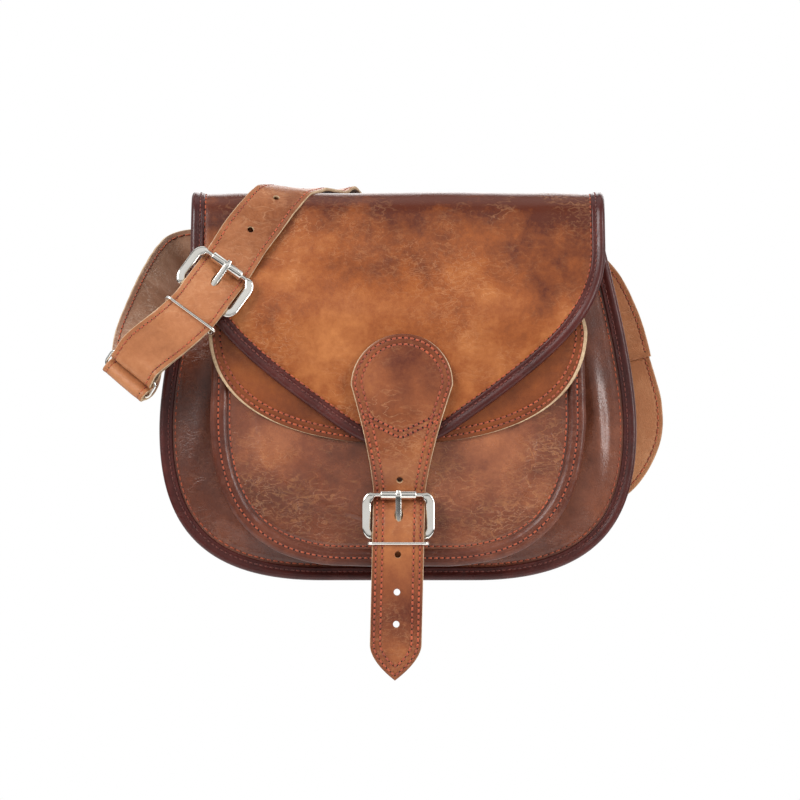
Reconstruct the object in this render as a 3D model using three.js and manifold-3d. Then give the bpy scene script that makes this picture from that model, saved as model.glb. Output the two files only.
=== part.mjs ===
// A leather saddle bag with a bound flap, a front pocket and a buckled shoulder strap.
// Millimetres, +Z up, +X to the right, front towards -Y. The origin is the centre of the
// outside of the gusset floor. The strap is drawn over the flap, round a wire ring on the
// left, and down behind the bag to a splice on the right.
import * as THREE from "three";
import { mergeVertices } from "three/addons/utils/BufferGeometryUtils.js";
import Module from "manifold-3d";

const wasm = await Module();
wasm.setup();

// Clearance and leather
const fit = 0.3;
const leather = 2;
const gussetLeather = 1.8;
const gussetBend = 2; // the slope across each of the gusset's two bends
const bindingLeather = 1.2;
const bindingWidth = 7;

// Body
const seam = 6.5; // how far the bound seams stand out from the gusset
const bodyHalfWidth = 140;
const widestHeight = 81.5;
const lipHalfWidth = 121;
const lipHeight = 190;
const backTop = 196;
const panelInside = 35; // from the middle of the bag to the inside of each large panel
const panelOutside = panelInside + leather;

// Pocket
const pocketFront = 58; // from the middle of the bag to the front of the pocket
const pocketTop = 136;
const pocketBottom = 11;
const pocketHalfWidth = 101;

// Flap: its side profile starts on the fold line at the top of the back
const foldY = 36;
const foldZ = 201;
const flapCrown = 219.5;
const flapFront = 64.6;
const flapTip = 70.5;
const flapHalfWidth = 121.5;
const pocketFlapHingeY = 38.6;
const pocketFlapHingeZ = 158;
const pocketFlapFront = 59.6;
const pocketFlapTip = 73.3;

// Buckles: v runs along the strap to the roller, w runs out of the strap
const pivotV = -11.5;
const rollerV = 13;
const frameHalfWidth = 18.65;
const frameCorner = 4.5;
const armHalfWidth = 2.65;
const armHalfDepth = 1.75;
const barRadius = 1.4;
const rollerLength = 21;
const rollerInner = 1.9;
const rollerOuter = 2.9;
const barRoom = 0.6; // between a bar and the leather that goes round it
const prongInner = 1.95;
const prongOuter = 3.4;
const prongHalfWidth = 1.75;
const wireRadius = 0.9;

// Straps
const closureThickness = 3;
const closureHalfWidth = 15.2;
const headRadius = 29.9;
const headHeight = 108;
const tailTip = -65;
const chapeThickness = 2;
const chapeHalfWidth = 12.5;
const strapWidth = 30;
const strapThickness = 2.2;

const colours = {
  flap: 0xa0602c,
  body: 0x6f3f2a,
  pocket: 0x7d4a30,
  pocketFlap: 0x8a5228,
  binding: 0x42262a,
  closure: 0x8d5434,
  strap: 0xa9704a,
  nickel: 0xd8d4cc,
};

const vector = (x, y, z) => new THREE.Vector3(x, y, z);
const square = [
  [-1, -1],
  [1, -1],
  [1, 1],
  [-1, 1],
];

// A regular polygon of radius 1.
function circle(sides) {
  return Array.from({ length: sides }, (_, i) => {
    const angle = (2 * Math.PI * i) / sides;
    return [Math.cos(angle), Math.sin(angle)];
  });
}

// Turns every face over when a closed mesh has its faces pointing in.
function facingOut(geometry) {
  const index = geometry.index.array;
  const position = geometry.getAttribute("position");
  const corner = (i) => new THREE.Vector3().fromBufferAttribute(position, index[i]);
  let volume = 0;
  for (let i = 0; i < index.length; i += 3) {
    volume += corner(i).dot(corner(i + 1).cross(corner(i + 2)));
  }
  if (volume < 0) {
    for (let i = 0; i < index.length; i += 3) {
      [index[i + 1], index[i + 2]] = [index[i + 2], index[i + 1]];
    }
  }
  return geometry;
}

// A closed solid made by carrying a polygon along frames. A frame has a centre and the two
// vectors that the polygon's coordinates multiply, so the section can grow and turn.
function sweep(frames, polygon, isLoop = false) {
  const sides = polygon.length;
  const positions = [];
  for (const { centre, across, out } of frames) {
    for (const [a, b] of polygon) {
      const point = centre.clone().addScaledVector(across, a).addScaledVector(out, b);
      positions.push(point.x, point.y, point.z);
    }
  }
  const triangles = [];
  const spans = isLoop ? frames.length : frames.length - 1;
  for (let i = 0; i < spans; i++) {
    const near = i * sides;
    const far = ((i + 1) % frames.length) * sides;
    for (let j = 0; j < sides; j++) {
      const next = (j + 1) % sides;
      triangles.push(near + j, near + next, far + next);
      triangles.push(near + j, far + next, far + j);
    }
  }
  if (!isLoop) {
    const last = (frames.length - 1) * sides;
    const outline = polygon.map(([a, b]) => new THREE.Vector2(a, b));
    for (const [a, b, c] of THREE.ShapeUtils.triangulateShape(outline, [])) {
      triangles.push(c, b, a, last + a, last + b, last + c);
    }
  }
  const geometry = new THREE.BufferGeometry();
  geometry.setAttribute("position", new THREE.Float32BufferAttribute(positions, 3));
  geometry.setIndex(triangles);
  return facingOut(geometry);
}

function asSolid(geometry) {
  const bare = geometry.clone();
  bare.deleteAttribute("normal");
  bare.deleteAttribute("uv");
  const merged = mergeVertices(bare, 1e-4);
  return new wasm.Manifold(
    new wasm.Mesh({
      numProp: 3,
      vertProperties: new Float32Array(merged.getAttribute("position").array),
      triVerts: new Uint32Array(merged.index.array),
    }),
  );
}

// The geometry with the cutters taken out of it.
function cut(geometry, cutters) {
  let solid = asSolid(geometry);
  for (const cutter of cutters) {
    solid = solid.subtract(asSolid(cutter));
  }
  const mesh = solid.getMesh();
  const result = new THREE.BufferGeometry();
  result.setAttribute("position", new THREE.BufferAttribute(mesh.vertProperties, 3));
  result.setIndex(new THREE.BufferAttribute(mesh.triVerts, 1));
  return result;
}

// Points of a 2D curve with the unit normal on its left, which is inwards on a
// counter-clockwise outline.
function stationsOf(points) {
  return points.map((at, i) => {
    const before = points[Math.max(i - 1, 0)];
    const after = points[Math.min(i + 1, points.length - 1)];
    const along = after.clone().sub(before).normalize();
    return { at, inward: new THREE.Vector2(-along.y, along.x) };
  });
}

const inset = ({ at, inward }, distance) => at.clone().addScaledVector(inward, distance);

// An outline that runs down the left side and up the right one, from its right half.
function mirrored(rightHalf) {
  const left = rightHalf.map(({ x, y }) => new THREE.Vector2(-x, y));
  return stationsOf([...left, ...rightHalf.reverse().slice(1)]);
}

// The rounded outline of the large panels.
function bodyOutline() {
  const path = new THREE.Path();
  path.moveTo(lipHalfWidth, lipHeight);
  path.bezierCurveTo(128, 160, bodyHalfWidth, 115, bodyHalfWidth, widestHeight);
  path.bezierCurveTo(bodyHalfWidth, 22, 112, -seam, 45, -seam);
  path.lineTo(0, -seam);
  return mirrored(path.getSpacedPoints(28));
}

function pocketOutline() {
  const path = new THREE.Path();
  path.moveTo(pocketHalfWidth - 1, pocketTop);
  path.lineTo(pocketHalfWidth, 90);
  path.bezierCurveTo(pocketHalfWidth, 45, 85, 12, 30, pocketBottom);
  path.lineTo(0, pocketBottom);
  return mirrored(path.getSpacedPoints(20));
}

// A flat plate inside an outline, between two distances in front of the middle of the bag.
function plate(points, near, far) {
  const shape = new THREE.Shape(points);
  const geometry = new THREE.ExtrudeGeometry(shape, { depth: far - near, bevelEnabled: false });
  return geometry.rotateX(Math.PI / 2).translate(0, -near, 0);
}

// A strip whose section, in (inset, y) coordinates, follows an outline of the XZ plane.
function edging(stations, section) {
  const frames = stations.map(({ at, inward }) => ({
    centre: vector(at.x, 0, at.y),
    across: vector(inward.x, 0, inward.y),
    out: vector(0, 1, 0),
  }));
  return sweep(frames, section);
}

// The U section of a binding folded round a stack of leather from low to high.
function bindingSection(low, high, lowLeg, highLeg) {
  const inLow = low - fit;
  const inHigh = high + fit;
  return [
    [0, inLow - bindingLeather],
    [lowLeg, inLow - bindingLeather],
    [lowLeg, inLow],
    [bindingLeather, inLow],
    [bindingLeather, inHigh],
    [highLeg, inHigh],
    [highLeg, inHigh + bindingLeather],
    [0, inHigh + bindingLeather],
  ];
}

const edgeInset = bindingLeather + fit;
const bodyStations = bodyOutline();
const panelEdge = bodyStations.map((station) => inset(station, edgeInset));

function makeFrontPanel() {
  return plate(panelEdge, panelInside, panelOutside);
}

// The back panel carries on above the lip, almost to the fold.
function makeBackPanel() {
  const { x } = panelEdge[0];
  const corners = [new THREE.Vector2(-x, backTop), new THREE.Vector2(x, backTop)];
  return plate([...panelEdge, ...corners], -panelOutside, -panelInside);
}

// A channel: the wall between the panels, with a flange bent out along each of them.
function makeGusset() {
  const half = panelInside - fit;
  const flange = half - gussetLeather;
  const section = [
    [edgeInset, -half],
    [seam + gussetLeather - gussetBend, -half],
    [seam + gussetLeather, gussetBend - half],
    [seam + gussetLeather, half - gussetBend],
    [seam + gussetLeather - gussetBend, half],
    [edgeInset, half],
    [edgeInset, flange],
    [seam - gussetBend, flange],
    [seam, flange - gussetBend],
    [seam, gussetBend - flange],
    [seam - gussetBend, -flange],
    [edgeInset, -flange],
  ];
  return edging(bodyStations, section);
}

const flangeInside = panelInside - fit - gussetLeather;
const shortLeg = seam - gussetBend - fit;

function makeFrontBinding() {
  const section = bindingSection(-panelOutside, -flangeInside, bindingWidth, shortLeg);
  return edging(bodyStations, section);
}

function makeBackBinding() {
  const section = bindingSection(flangeInside, panelOutside, shortLeg, bindingWidth);
  return edging(bodyStations, section);
}

// Pocket

function makePocketPanel() {
  const edge = pocketOutline().map(({ at }) => at);
  return plate(edge, pocketFront - leather, pocketFront);
}

// The gusset runs out from the front panel, folds over at the rim and comes back behind
// the edge of the pocket panel.
function makePocketGusset() {
  const rim = 8.5;
  const foot = -panelOutside - fit;
  const head = -pocketFront + leather + fit;
  const section = [
    [6, head],
    [6, head + gussetLeather],
    [gussetLeather - rim + 2, head + gussetLeather],
    [gussetLeather + 1, foot],
    [0, foot],
    [0.8 - rim, head + 4.2],
    [-rim, head + 1.7],
    [1.5 - rim, head],
  ];
  return edging(pocketOutline(), section);
}

// A side profile in (distance forward, height), sampled evenly, that places a sheet's
// rows: row(s) gives the point and the outward normal at a distance s along it.
function sideProfile(path) {
  const length = path.getLength();
  return {
    length,
    row(s) {
      const u = Math.min(Math.max(s / length, 0), 1);
      const at = path.getPointAt(u);
      const along = path.getTangentAt(u);
      return {
        at: vector(0, -at.x, at.y),
        normal: vector(0, along.y, along.x).normalize(),
      };
    },
    // The distance along the profile at which it has fallen to a height below its start.
    fallTo(height) {
      let low = 0;
      let high = length;
      while (high - low > 1e-3) {
        const middle = (low + high) / 2;
        if (path.getPointAt(middle / length).y > height) low = middle;
        else high = middle;
      }
      return low;
    },
  };
}

// The outline of the right half of a sheet in (x, distance along the profile).
function sheetEdge(profile, points) {
  return stationsOf(points.map(([x, s]) => new THREE.Vector2(x, Math.min(s, profile.length))));
}

// A curved sheet of even thickness whose half width at each row comes from its edge.
function sheet(profile, edge, distance, thickness, tipHalfWidth) {
  const frames = edge.map((station) => {
    const point = inset(station, distance);
    const { at, normal } = profile.row(point.y);
    return {
      centre: at,
      across: vector(Math.max(point.x, tipHalfWidth), 0, 0),
      out: normal.multiplyScalar(thickness / 2),
    };
  });
  return sweep(frames, square);
}

// Flap

function makeFlapProfile() {
  const path = new THREE.Path();
  path.moveTo(-foldY, foldZ);
  path.lineTo(-foldY, foldZ + 4);
  path.bezierCurveTo(-foldY, flapCrown - 4, -32, flapCrown, -20, flapCrown);
  path.lineTo(27, flapCrown);
  path.bezierCurveTo(40, flapCrown, 44, 212, 46, 200);
  path.bezierCurveTo(52, 172, flapFront, 160, flapFront, 138);
  path.lineTo(flapFront, flapTip - 1);
  return sideProfile(path);
}

const flapProfile = makeFlapProfile();

// Straight over the top, then round the front corner to a blunt point in the middle.
function flapEdge() {
  const straight = 14;
  const cornerTop = 187;
  const falling = new THREE.Path();
  falling.moveTo(flapHalfWidth, cornerTop);
  falling.bezierCurveTo(121, 148, 92, 124, 34, 83);
  falling.quadraticCurveTo(16, flapTip, 0, flapTip);
  const cornerAt = flapProfile.fallTo(cornerTop);
  const points = [];
  for (let i = 0; i < straight; i++) {
    const s = (cornerAt * i) / straight;
    points.push([flapHalfWidth - 2 * (1 - i / straight), s]);
  }
  for (const point of falling.getSpacedPoints(22)) {
    points.push([point.x, flapProfile.fallTo(point.y)]);
  }
  return sheetEdge(flapProfile, points);
}

function makeFlap() {
  return sheet(flapProfile, flapEdge(), edgeInset, leather, 1);
}

// The flap's binding starts a little above the fold on each side.
function makeFlapBinding() {
  const clearOfFold = 3;
  const half = leather / 2 + 0.5; // the legs are flat while the flap curves under them
  const right = flapEdge().filter(({ at }) => at.y >= clearOfFold);
  const frameAt = ({ at, inward }, side) => {
    const { at: centre, normal } = flapProfile.row(at.y);
    const down = vector(1, 0, 0).cross(normal);
    const across = vector(side * inward.x, 0, 0).addScaledVector(down, inward.y);
    return { centre: centre.setX(side * at.x), across, out: normal };
  };
  const downLeft = right.map((station) => frameAt(station, -1));
  const upRight = right.map((station) => frameAt(station, 1)).reverse();
  const section = bindingSection(-half, half, bindingWidth, bindingWidth);
  return sweep([...downLeft, ...upRight.slice(1)], section);
}

function makePocketFlap() {
  const path = new THREE.Path();
  path.moveTo(pocketFlapHingeY, pocketFlapHingeZ);
  path.bezierCurveTo(50, 157, pocketFlapFront, 154, pocketFlapFront, 140);
  path.lineTo(pocketFlapFront, pocketFlapTip - 1);
  const profile = sideProfile(path);
  const falling = new THREE.Path();
  falling.moveTo(111, 138);
  falling.bezierCurveTo(110, 105, 84, 80, 20, 74);
  falling.lineTo(1, pocketFlapTip);
  const points = [
    [106, 0],
    [108, 8],
    [110, 16],
  ];
  for (const point of falling.getSpacedPoints(16)) {
    points.push([point.x, profile.fallTo(point.y)]);
  }
  return sheet(profile, sheetEdge(profile, points), 0, leather, 1);
}

// Straps

// Frames of a flat strap. Each stop gives a point of its middle and the direction of its
// width; both are joined by smooth curves.
function strapFrames(stops, width, thickness, stepsPerStop) {
  const smooth = (list) => new THREE.CatmullRomCurve3(list, false, "centripetal");
  const middle = smooth(stops.map((stop) => stop[0]));
  const widths = smooth(stops.map((stop) => stop[1]));
  const steps = (stops.length - 1) * stepsPerStop;
  return Array.from({ length: steps + 1 }, (_, i) => {
    const u = i / steps;
    const along = middle.getTangent(u);
    const across = widths.getPoint(u);
    across.addScaledVector(along, -across.dot(along)).normalize();
    return {
      centre: middle.getPoint(u),
      across: across.clone().multiplyScalar(width / 2),
      out: along.cross(across).multiplyScalar(thickness / 2),
    };
  });
}

// Stops of a strap's half turn round a bar, starting on one side of it and ending on the
// other, with the turn bulging away from where the strap comes from.
function halfTurn(centre, away, side, radius, across) {
  return [-90, -45, 0, 45, 90].map((degrees) => {
    const angle = THREE.MathUtils.degToRad(degrees);
    const at = centre.clone().addScaledVector(away, radius * Math.cos(angle));
    return [at.addScaledVector(side, radius * Math.sin(angle)), across];
  });
}

// A buckle's own frame: origin, u across the strap, v along it, w out of it.
function buckleFrame(origin, u, v) {
  const across = u.clone().normalize();
  const along = v.clone().normalize();
  const out = across.clone().cross(along);
  return {
    point: (a, b, c) =>
      origin.clone().addScaledVector(across, a).addScaledVector(along, b).addScaledVector(out, c),
    direction: (a, b, c) =>
      vector(0, 0, 0).addScaledVector(across, a).addScaledVector(along, b).addScaledVector(out, c),
    matrix: new THREE.Matrix4().makeBasis(across, along, out).setPosition(origin),
    across,
  };
}

const closureBuckle = buckleFrame(vector(0, -64.9, 30.7), vector(1, 0, 0), vector(0, 0, 1));

const strapSlope = THREE.MathUtils.degToRad(36); // the shoulder strap's lean on the flap
const strapTilt = THREE.MathUtils.degToRad(16); // and its tilt back towards the top
const shoulderBuckle = buckleFrame(
  vector(-107.5, -67.9, 167.7),
  vector(Math.cos(strapSlope), 0, -Math.sin(strapSlope)),
  vector(
    Math.sin(strapSlope) * Math.cos(strapTilt),
    Math.sin(strapTilt),
    Math.cos(strapSlope) * Math.cos(strapTilt),
  ),
);

// A closed rounded rectangle of wire or bar in the plane of two directions. The corner
// arcs join straight sides; sectionAt gives the half width and half depth at a point.
function roundedLoop(corner, halfAcross, low, high, cornerSteps, place, sectionAt) {
  const path = new THREE.Path();
  path.moveTo(halfAcross, low + corner);
  path.lineTo(halfAcross, high - corner);
  path.absarc(halfAcross - corner, high - corner, corner, 0, Math.PI / 2, false);
  path.lineTo(corner - halfAcross, high);
  path.absarc(corner - halfAcross, high - corner, corner, Math.PI / 2, Math.PI, false);
  path.lineTo(-halfAcross, low + corner);
  path.absarc(corner - halfAcross, low + corner, corner, Math.PI, 1.5 * Math.PI, false);
  path.lineTo(halfAcross - corner, low);
  path.absarc(halfAcross - corner, low + corner, corner, 1.5 * Math.PI, 2 * Math.PI, false);
  const points = [];
  for (const curve of path.curves.filter((piece) => piece.getLength() > 1e-3)) {
    const steps = curve.isLineCurve ? 1 : cornerSteps;
    for (let i = 0; i < steps; i++) {
      points.push({ at: curve.getPointAt(i / steps), along: curve.getTangentAt(i / steps) });
    }
  }
  return points.map(({ at, along }) => {
    const [halfWidth, halfDepth] = sectionAt(at);
    const { centre, sideways, out } = place(at, new THREE.Vector2(along.y, -along.x));
    return {
      centre,
      across: sideways.multiplyScalar(halfWidth),
      out: out.multiplyScalar(halfDepth),
    };
  });
}

// Thick flat arms joined by two round bars: the roller's, and the pivot's.
function makeFrame(buckle) {
  const sectionAt = ({ x }) => {
    const isArm = Math.abs(x) > frameHalfWidth - frameCorner / 2;
    return isArm ? [armHalfWidth, armHalfDepth] : [barRadius, barRadius];
  };
  const place = (at, side) => ({
    centre: buckle.point(at.x, at.y, 0),
    sideways: buckle.direction(side.x, side.y, 0),
    out: buckle.direction(0, 0, 1),
  });
  const frames = roundedLoop(frameCorner, frameHalfWidth, pivotV, rollerV, 4, place, sectionAt);
  return sweep(frames, circle(10), true);
}

// A wire rectangle round the strap, in the plane across it at v.
function makeKeeper(buckle, v, halfAcross, low, high) {
  const place = (at, side) => ({
    centre: buckle.point(at.x, v, at.y),
    sideways: buckle.direction(side.x, 0, side.y),
    out: buckle.direction(0, 1, 0),
  });
  const wire = () => [wireRadius, wireRadius];
  return sweep(roundedLoop(2.5, halfAcross, low, high, 3, place, wire), circle(8), true);
}

// A tube that turns on the far bar.
function makeRoller(buckle) {
  const half = rollerLength / 2;
  const profile = [
    [rollerInner, -half],
    [rollerOuter, -half],
    [rollerOuter, half],
    [rollerInner, half],
    [rollerInner, -half],
  ].map(([r, y]) => new THREE.Vector2(r, y));
  const geometry = new THREE.LatheGeometry(profile, 16);
  geometry.rotateZ(-Math.PI / 2).translate(0, rollerV, 0).applyMatrix4(buckle.matrix);
  geometry.deleteAttribute("normal");
  geometry.deleteAttribute("uv");
  return facingOut(mergeVertices(geometry, 1e-4));
}

// An eye round the pivot bar and an arm that lies on the roller, drawn from the side.
function makeProng(buckle) {
  const joint = THREE.MathUtils.degToRad(20);
  const shape = new THREE.Shape();
  shape.absarc(pivotV, 0, prongOuter, Math.PI / 2, 2 * Math.PI + joint, false);
  shape.lineTo(rollerV, rollerOuter + fit);
  shape.lineTo(rollerV + 2.8, rollerOuter);
  shape.lineTo(rollerV + 3.2, rollerOuter + 1.2);
  shape.lineTo(rollerV + 1.6, rollerOuter + 2.2);
  shape.lineTo(pivotV, prongOuter);
  const eye = new THREE.Path();
  eye.absarc(pivotV, 0, prongInner, 0, 2 * Math.PI, true);
  shape.holes.push(eye);
  const options = { depth: 2 * prongHalfWidth, bevelEnabled: false, curveSegments: 12 };
  const geometry = new THREE.ExtrudeGeometry(shape, options).translate(0, 0, -prongHalfWidth);
  const sideways = new THREE.Matrix4().makeBasis(
    vector(0, 1, 0),
    vector(0, 0, 1),
    vector(1, 0, 0),
  );
  return geometry.applyMatrix4(sideways).applyMatrix4(buckle.matrix);
}

// The room that a prong needs where it passes up through a strap.
function prongSlot(buckle, low, high, bottom, top) {
  const box = new THREE.BoxGeometry(2 * prongHalfWidth + 1.4, high - low, top - bottom);
  return box.translate(0, (low + high) / 2, (bottom + top) / 2).applyMatrix4(buckle.matrix);
}

// A round hole through a strap, on the axis out of the buckle's plane or out of the bag.
function strapHole(at, axis) {
  const radius = 1.9;
  const pin = new THREE.CylinderGeometry(radius, radius, 20, 12);
  const turn = new THREE.Quaternion().setFromUnitVectors(vector(0, 1, 0), axis);
  return pin.applyQuaternion(turn).translate(at.x, at.y, at.z);
}

// The side view of the closure strap: over the flap, under the roller, over the pivot bar.
const closureRoute = [
  [-67.5, 137.9],
  [-67.7, 120],
  [-69.3, 100],
  [-69.5, 85],
  [-69.6, 72],
  [-66.2, 60],
  [-60.9, 50],
  [-60.15, 43.7],
  [-62.2, 38.5],
  [-67.2, 32.5],
  [-70, 26],
  [-70.8, 19.2],
  [-70.8, 12],
  [-69.6, -5],
  [-68.6, -30],
  [-67.8, tailTip],
];

// Half the strap's width: a round head, a taper to the buckle and a pointed tail.
function closureWidthAt(z) {
  const waist = 45;
  const shoulder = tailTip + 26;
  if (z > headHeight) return Math.sqrt(Math.max(headRadius ** 2 - (z - headHeight) ** 2, 9));
  if (z > waist) {
    const u = (z - waist) / (headHeight - waist);
    return closureHalfWidth + (headRadius - closureHalfWidth) * u ** 1.35;
  }
  if (z > shoulder) return closureHalfWidth;
  const u = (shoulder - z) / (shoulder - tailTip);
  return Math.max(closureHalfWidth * Math.sqrt(1 - u ** 1.6), 1);
}

const closureHoles = [53, 8.8, -13.2, -32];

function makeClosureStrap() {
  const middle = new THREE.CatmullRomCurve3(
    closureRoute.map(([y, z]) => vector(0, y, z)),
    false,
    "catmullrom",
    0.5,
  );
  const steps = 64;
  const frames = Array.from({ length: steps + 1 }, (_, i) => {
    const centre = middle.getPointAt(i / steps);
    const along = middle.getTangentAt(i / steps);
    return {
      centre,
      across: vector(closureWidthAt(centre.z), 0, 0),
      out: vector(1, 0, 0).cross(along).multiplyScalar(closureThickness / 2),
    };
  });
  const forward = vector(0, 1, 0);
  const holes = closureHoles.map((z) => strapHole(vector(0, -66, z), forward));
  const slot = prongSlot(closureBuckle, -6.5, 8, -7, 8);
  return cut(sweep(frames, square), [...holes, slot]);
}

// Folded over the pivot bar, with both ends brought together and sewn to the pocket.
function makeChape() {
  const { point, direction } = closureBuckle;
  const bend = barRadius + barRoom + chapeThickness / 2;
  const across = vector(1, 0, 0);
  const pivot = point(0, pivotV, 0);
  const stops = [
    [point(0, -28.7, -3.6), across],
    [point(0, -22, -3.6), across],
    [point(0, pivotV - 4, 0.3 - bend), across],
    ...halfTurn(pivot, direction(0, 1, 0), direction(0, 0, 1), bend, across),
    [point(0, pivotV - 4, bend - 0.3), across],
    [point(0, -22, -1.2), across],
    [point(0, -28.7, -1.2), across],
  ];
  const frames = strapFrames(stops, 2 * chapeHalfWidth, chapeThickness, 3);
  const slot = prongSlot(closureBuckle, pivotV - 4, pivotV + 4.5, -4.6, 4.4);
  return cut(sweep(frames, square), [slot]);
}

// The wire ring on the left. The long strap goes round its near bar and the left tab round
// its far one.
const ringNear = vector(-154, -63, 118.5);
const ringAcross = vector(0.75, -0.22, -0.62).normalize();
const ringDepth = 10.4;
const ringTurn = 2.1 + strapThickness / 2;

// The part of a direction that is square to the ring's bars, at unit length.
function squareToRing(x, y, z) {
  const direction = vector(x, y, z);
  return direction.addScaledVector(ringAcross, -direction.dot(ringAcross)).normalize();
}

const ringAway = squareToRing(-0.62, 0.45, -0.62);
const ringFar = ringNear.clone().addScaledVector(ringAway, ringDepth);

// Shoulder strap, front part: over the top of the flap, down to its buckle, on to the ring,
// round it and back underneath to hold the buckle's pivot bar.
function makeShoulderFront() {
  const { point, direction, across: u } = shoulderBuckle;
  const bend = barRadius + barRoom + strapThickness / 2;
  const pivot = point(0, pivotV, 0);
  const onBack = vector(0.809, 0, 0.588);
  const onCrown = vector(0.809, -0.588, 0);
  const inwards = ringAcross.clone().cross(ringAway);
  const beforeRing = (along, depth) =>
    ringNear.clone().addScaledVector(ringAway, -along).addScaledVector(inwards, depth);
  const stops = [
    [vector(-15.8, 40.4, 184.2), onBack],
    [vector(-29.1, 40.4, 202.8), onBack],
    [vector(-34, 38.2, 214.5), vector(0.809, -0.25, 0.53)],
    [vector(-39, 31, 221), vector(0.809, -0.5, 0.3)],
    [vector(-44, 21, 222.3), onCrown],
    [vector(-53, 0, 222.3), onCrown],
    [vector(-62, -22, 222.3), onCrown],
    [vector(-66.5, -34, 222), vector(0.809, -0.55, -0.2)],
    [vector(-71, -43.5, 216.4), vector(0.809, -0.35, -0.47)],
    [vector(-77, -50, 205.4), u],
    [point(0, 34, -2.6), u],
    [point(0, 22, -3.8), u],
    [point(0, rollerV, -4.35), u],
    [point(0, 8, -3.1), u],
    [point(0, 2, 2.3), u],
    [point(0, -5, 5.2), u],
    [point(0, pivotV, 5.6), u],
    [point(0, -18, 5.1), u],
    [point(0, -24.8, 3.2), u],
    [point(-1.5, -38, 2.4), u],
    [beforeRing(10, -ringTurn), ringAcross],
    ...halfTurn(ringNear, ringAway, inwards, ringTurn, ringAcross),
    [beforeRing(10, ringTurn), ringAcross],
    [point(-1.5, -38, -1.4), u],
    [point(0, -24.8, -1.6), u],
    [point(0, pivotV - 4, 0.2 - bend), u],
    ...halfTurn(pivot, direction(0, 1, 0), direction(0, 0, 1), bend, u),
    [point(0, pivotV - 3.5, bend - 0.2), u],
  ];
  const frames = strapFrames(stops, strapWidth, strapThickness, 3);
  const slots = [
    prongSlot(shoulderBuckle, -6.5, 7.5, -7, 8),
    prongSlot(shoulderBuckle, pivotV - 3.9, pivotV + 4.4, -4.4, 4.1),
  ];
  return cut(sweep(frames, square), slots);
}

// Shoulder strap, rear part: from the splice on the right it hangs below the middle of the
// bag's side, turns behind it and climbs to the fold.
function makeShoulderRear() {
  const climbing = vector(-0.809, 0, -0.588);
  const stops = [
    [vector(134, 42, 121), vector(0.974, 0, 0.226)],
    [vector(136.7, 42, 109.3), vector(0.98, 0, 0.2)],
    [vector(139.4, 42, 95), vector(0.995, 0, 0.1)],
    [vector(138.6, 42, 77), vector(0.96, 0, -0.28)],
    [vector(126, 42, 55), vector(0.66, 0, -0.75)],
    [vector(103, 42, 46), vector(0.05, 0, -1)],
    [vector(78, 41.6, 56.5), vector(-0.62, 0, -0.78)],
    [vector(47, 41, 95), climbing],
    [vector(16, 40.8, 138), climbing],
    [vector(-15.2, 40.4, 182.9), climbing],
  ];
  return sweep(strapFrames(stops, strapWidth, strapThickness, 6), square);
}

// Left tab: sewn to the back at its upper corner, round the side and forward to the ring.
function makeLeftTab() {
  const upright = vector(0, 0, 1);
  const backwards = ringAcross.clone().negate();
  const home = squareToRing(0.1, 0.8, 0.6);
  const away = home.clone().negate();
  const side = away.clone().cross(ringAcross).normalize();
  const nearRing = (along, out) =>
    ringFar.clone().addScaledVector(home, along).addScaledVector(side, out);
  const stops = [
    [vector(-88, 38.6, 172), upright],
    [vector(-100, 38.8, 174.5), upright],
    [vector(-112, 40.1, 177), upright],
    [vector(-125, 40.4, 179), upright],
    [vector(-133.5, 36, 179), vector(-0.08, 0, 1)],
    [vector(-138.5, 25, 175.5), vector(-0.2, 0, 0.95)],
    [vector(-144, 5, 165), vector(-0.4, 0.05, 0.85)],
    [vector(-149.5, -17, 149.5), vector(-0.6, 0.12, 0.7)],
    [vector(-153.5, -36, 133), backwards],
    [nearRing(11, -ringTurn), backwards],
    ...halfTurn(ringFar, away, side, ringTurn, backwards),
    [nearRing(9, ringTurn), backwards],
  ];
  return sweep(strapFrames(stops, strapWidth, strapThickness, 4), square);
}

// Right tab: sewn to the back at its upper corner, down to where the long strap is spliced.
function makeRightTab() {
  const stops = [
    [vector(105, 40, 185.5), vector(0.86, 0, 0.5)],
    [vector(110, 40.1, 177), vector(0.87, 0, 0.49)],
    [vector(118, 40.8, 163), vector(0.89, 0, 0.45)],
    [vector(126.5, 42, 144.5), vector(0.94, 0, 0.33)],
    [vector(131.2, 42, 133.2), vector(0.974, 0, 0.226)],
    [vector(133.8, 42, 121.8), vector(0.974, 0, 0.226)],
  ];
  return sweep(strapFrames(stops, strapWidth, strapThickness, 6), square);
}

// A wire rectangle that the strap and the left tab both pass round.
function makeRing() {
  const normal = ringAcross.clone().cross(ringAway);
  const place = (at, side) => ({
    centre: ringNear.clone().addScaledVector(ringAcross, at.x).addScaledVector(ringAway, at.y),
    sideways: vector(0, 0, 0).addScaledVector(ringAcross, side.x).addScaledVector(ringAway, side.y),
    out: normal.clone(),
  });
  const wire = () => [wireRadius, wireRadius];
  return sweep(roundedLoop(2.5, 16.8, 0, ringDepth, 3, place, wire), circle(8), true);
}

const finishes = {
  leather: { roughness: 0.42, metalness: 0 },
  metal: { roughness: 0.22, metalness: 1 },
};

function part(name, geometry, colour, finish) {
  const material = new THREE.MeshStandardMaterial({ color: colour, ...finish });
  const mesh = new THREE.Mesh(geometry, material);
  mesh.name = name;
  return mesh;
}

const bag = new THREE.Group();

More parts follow.
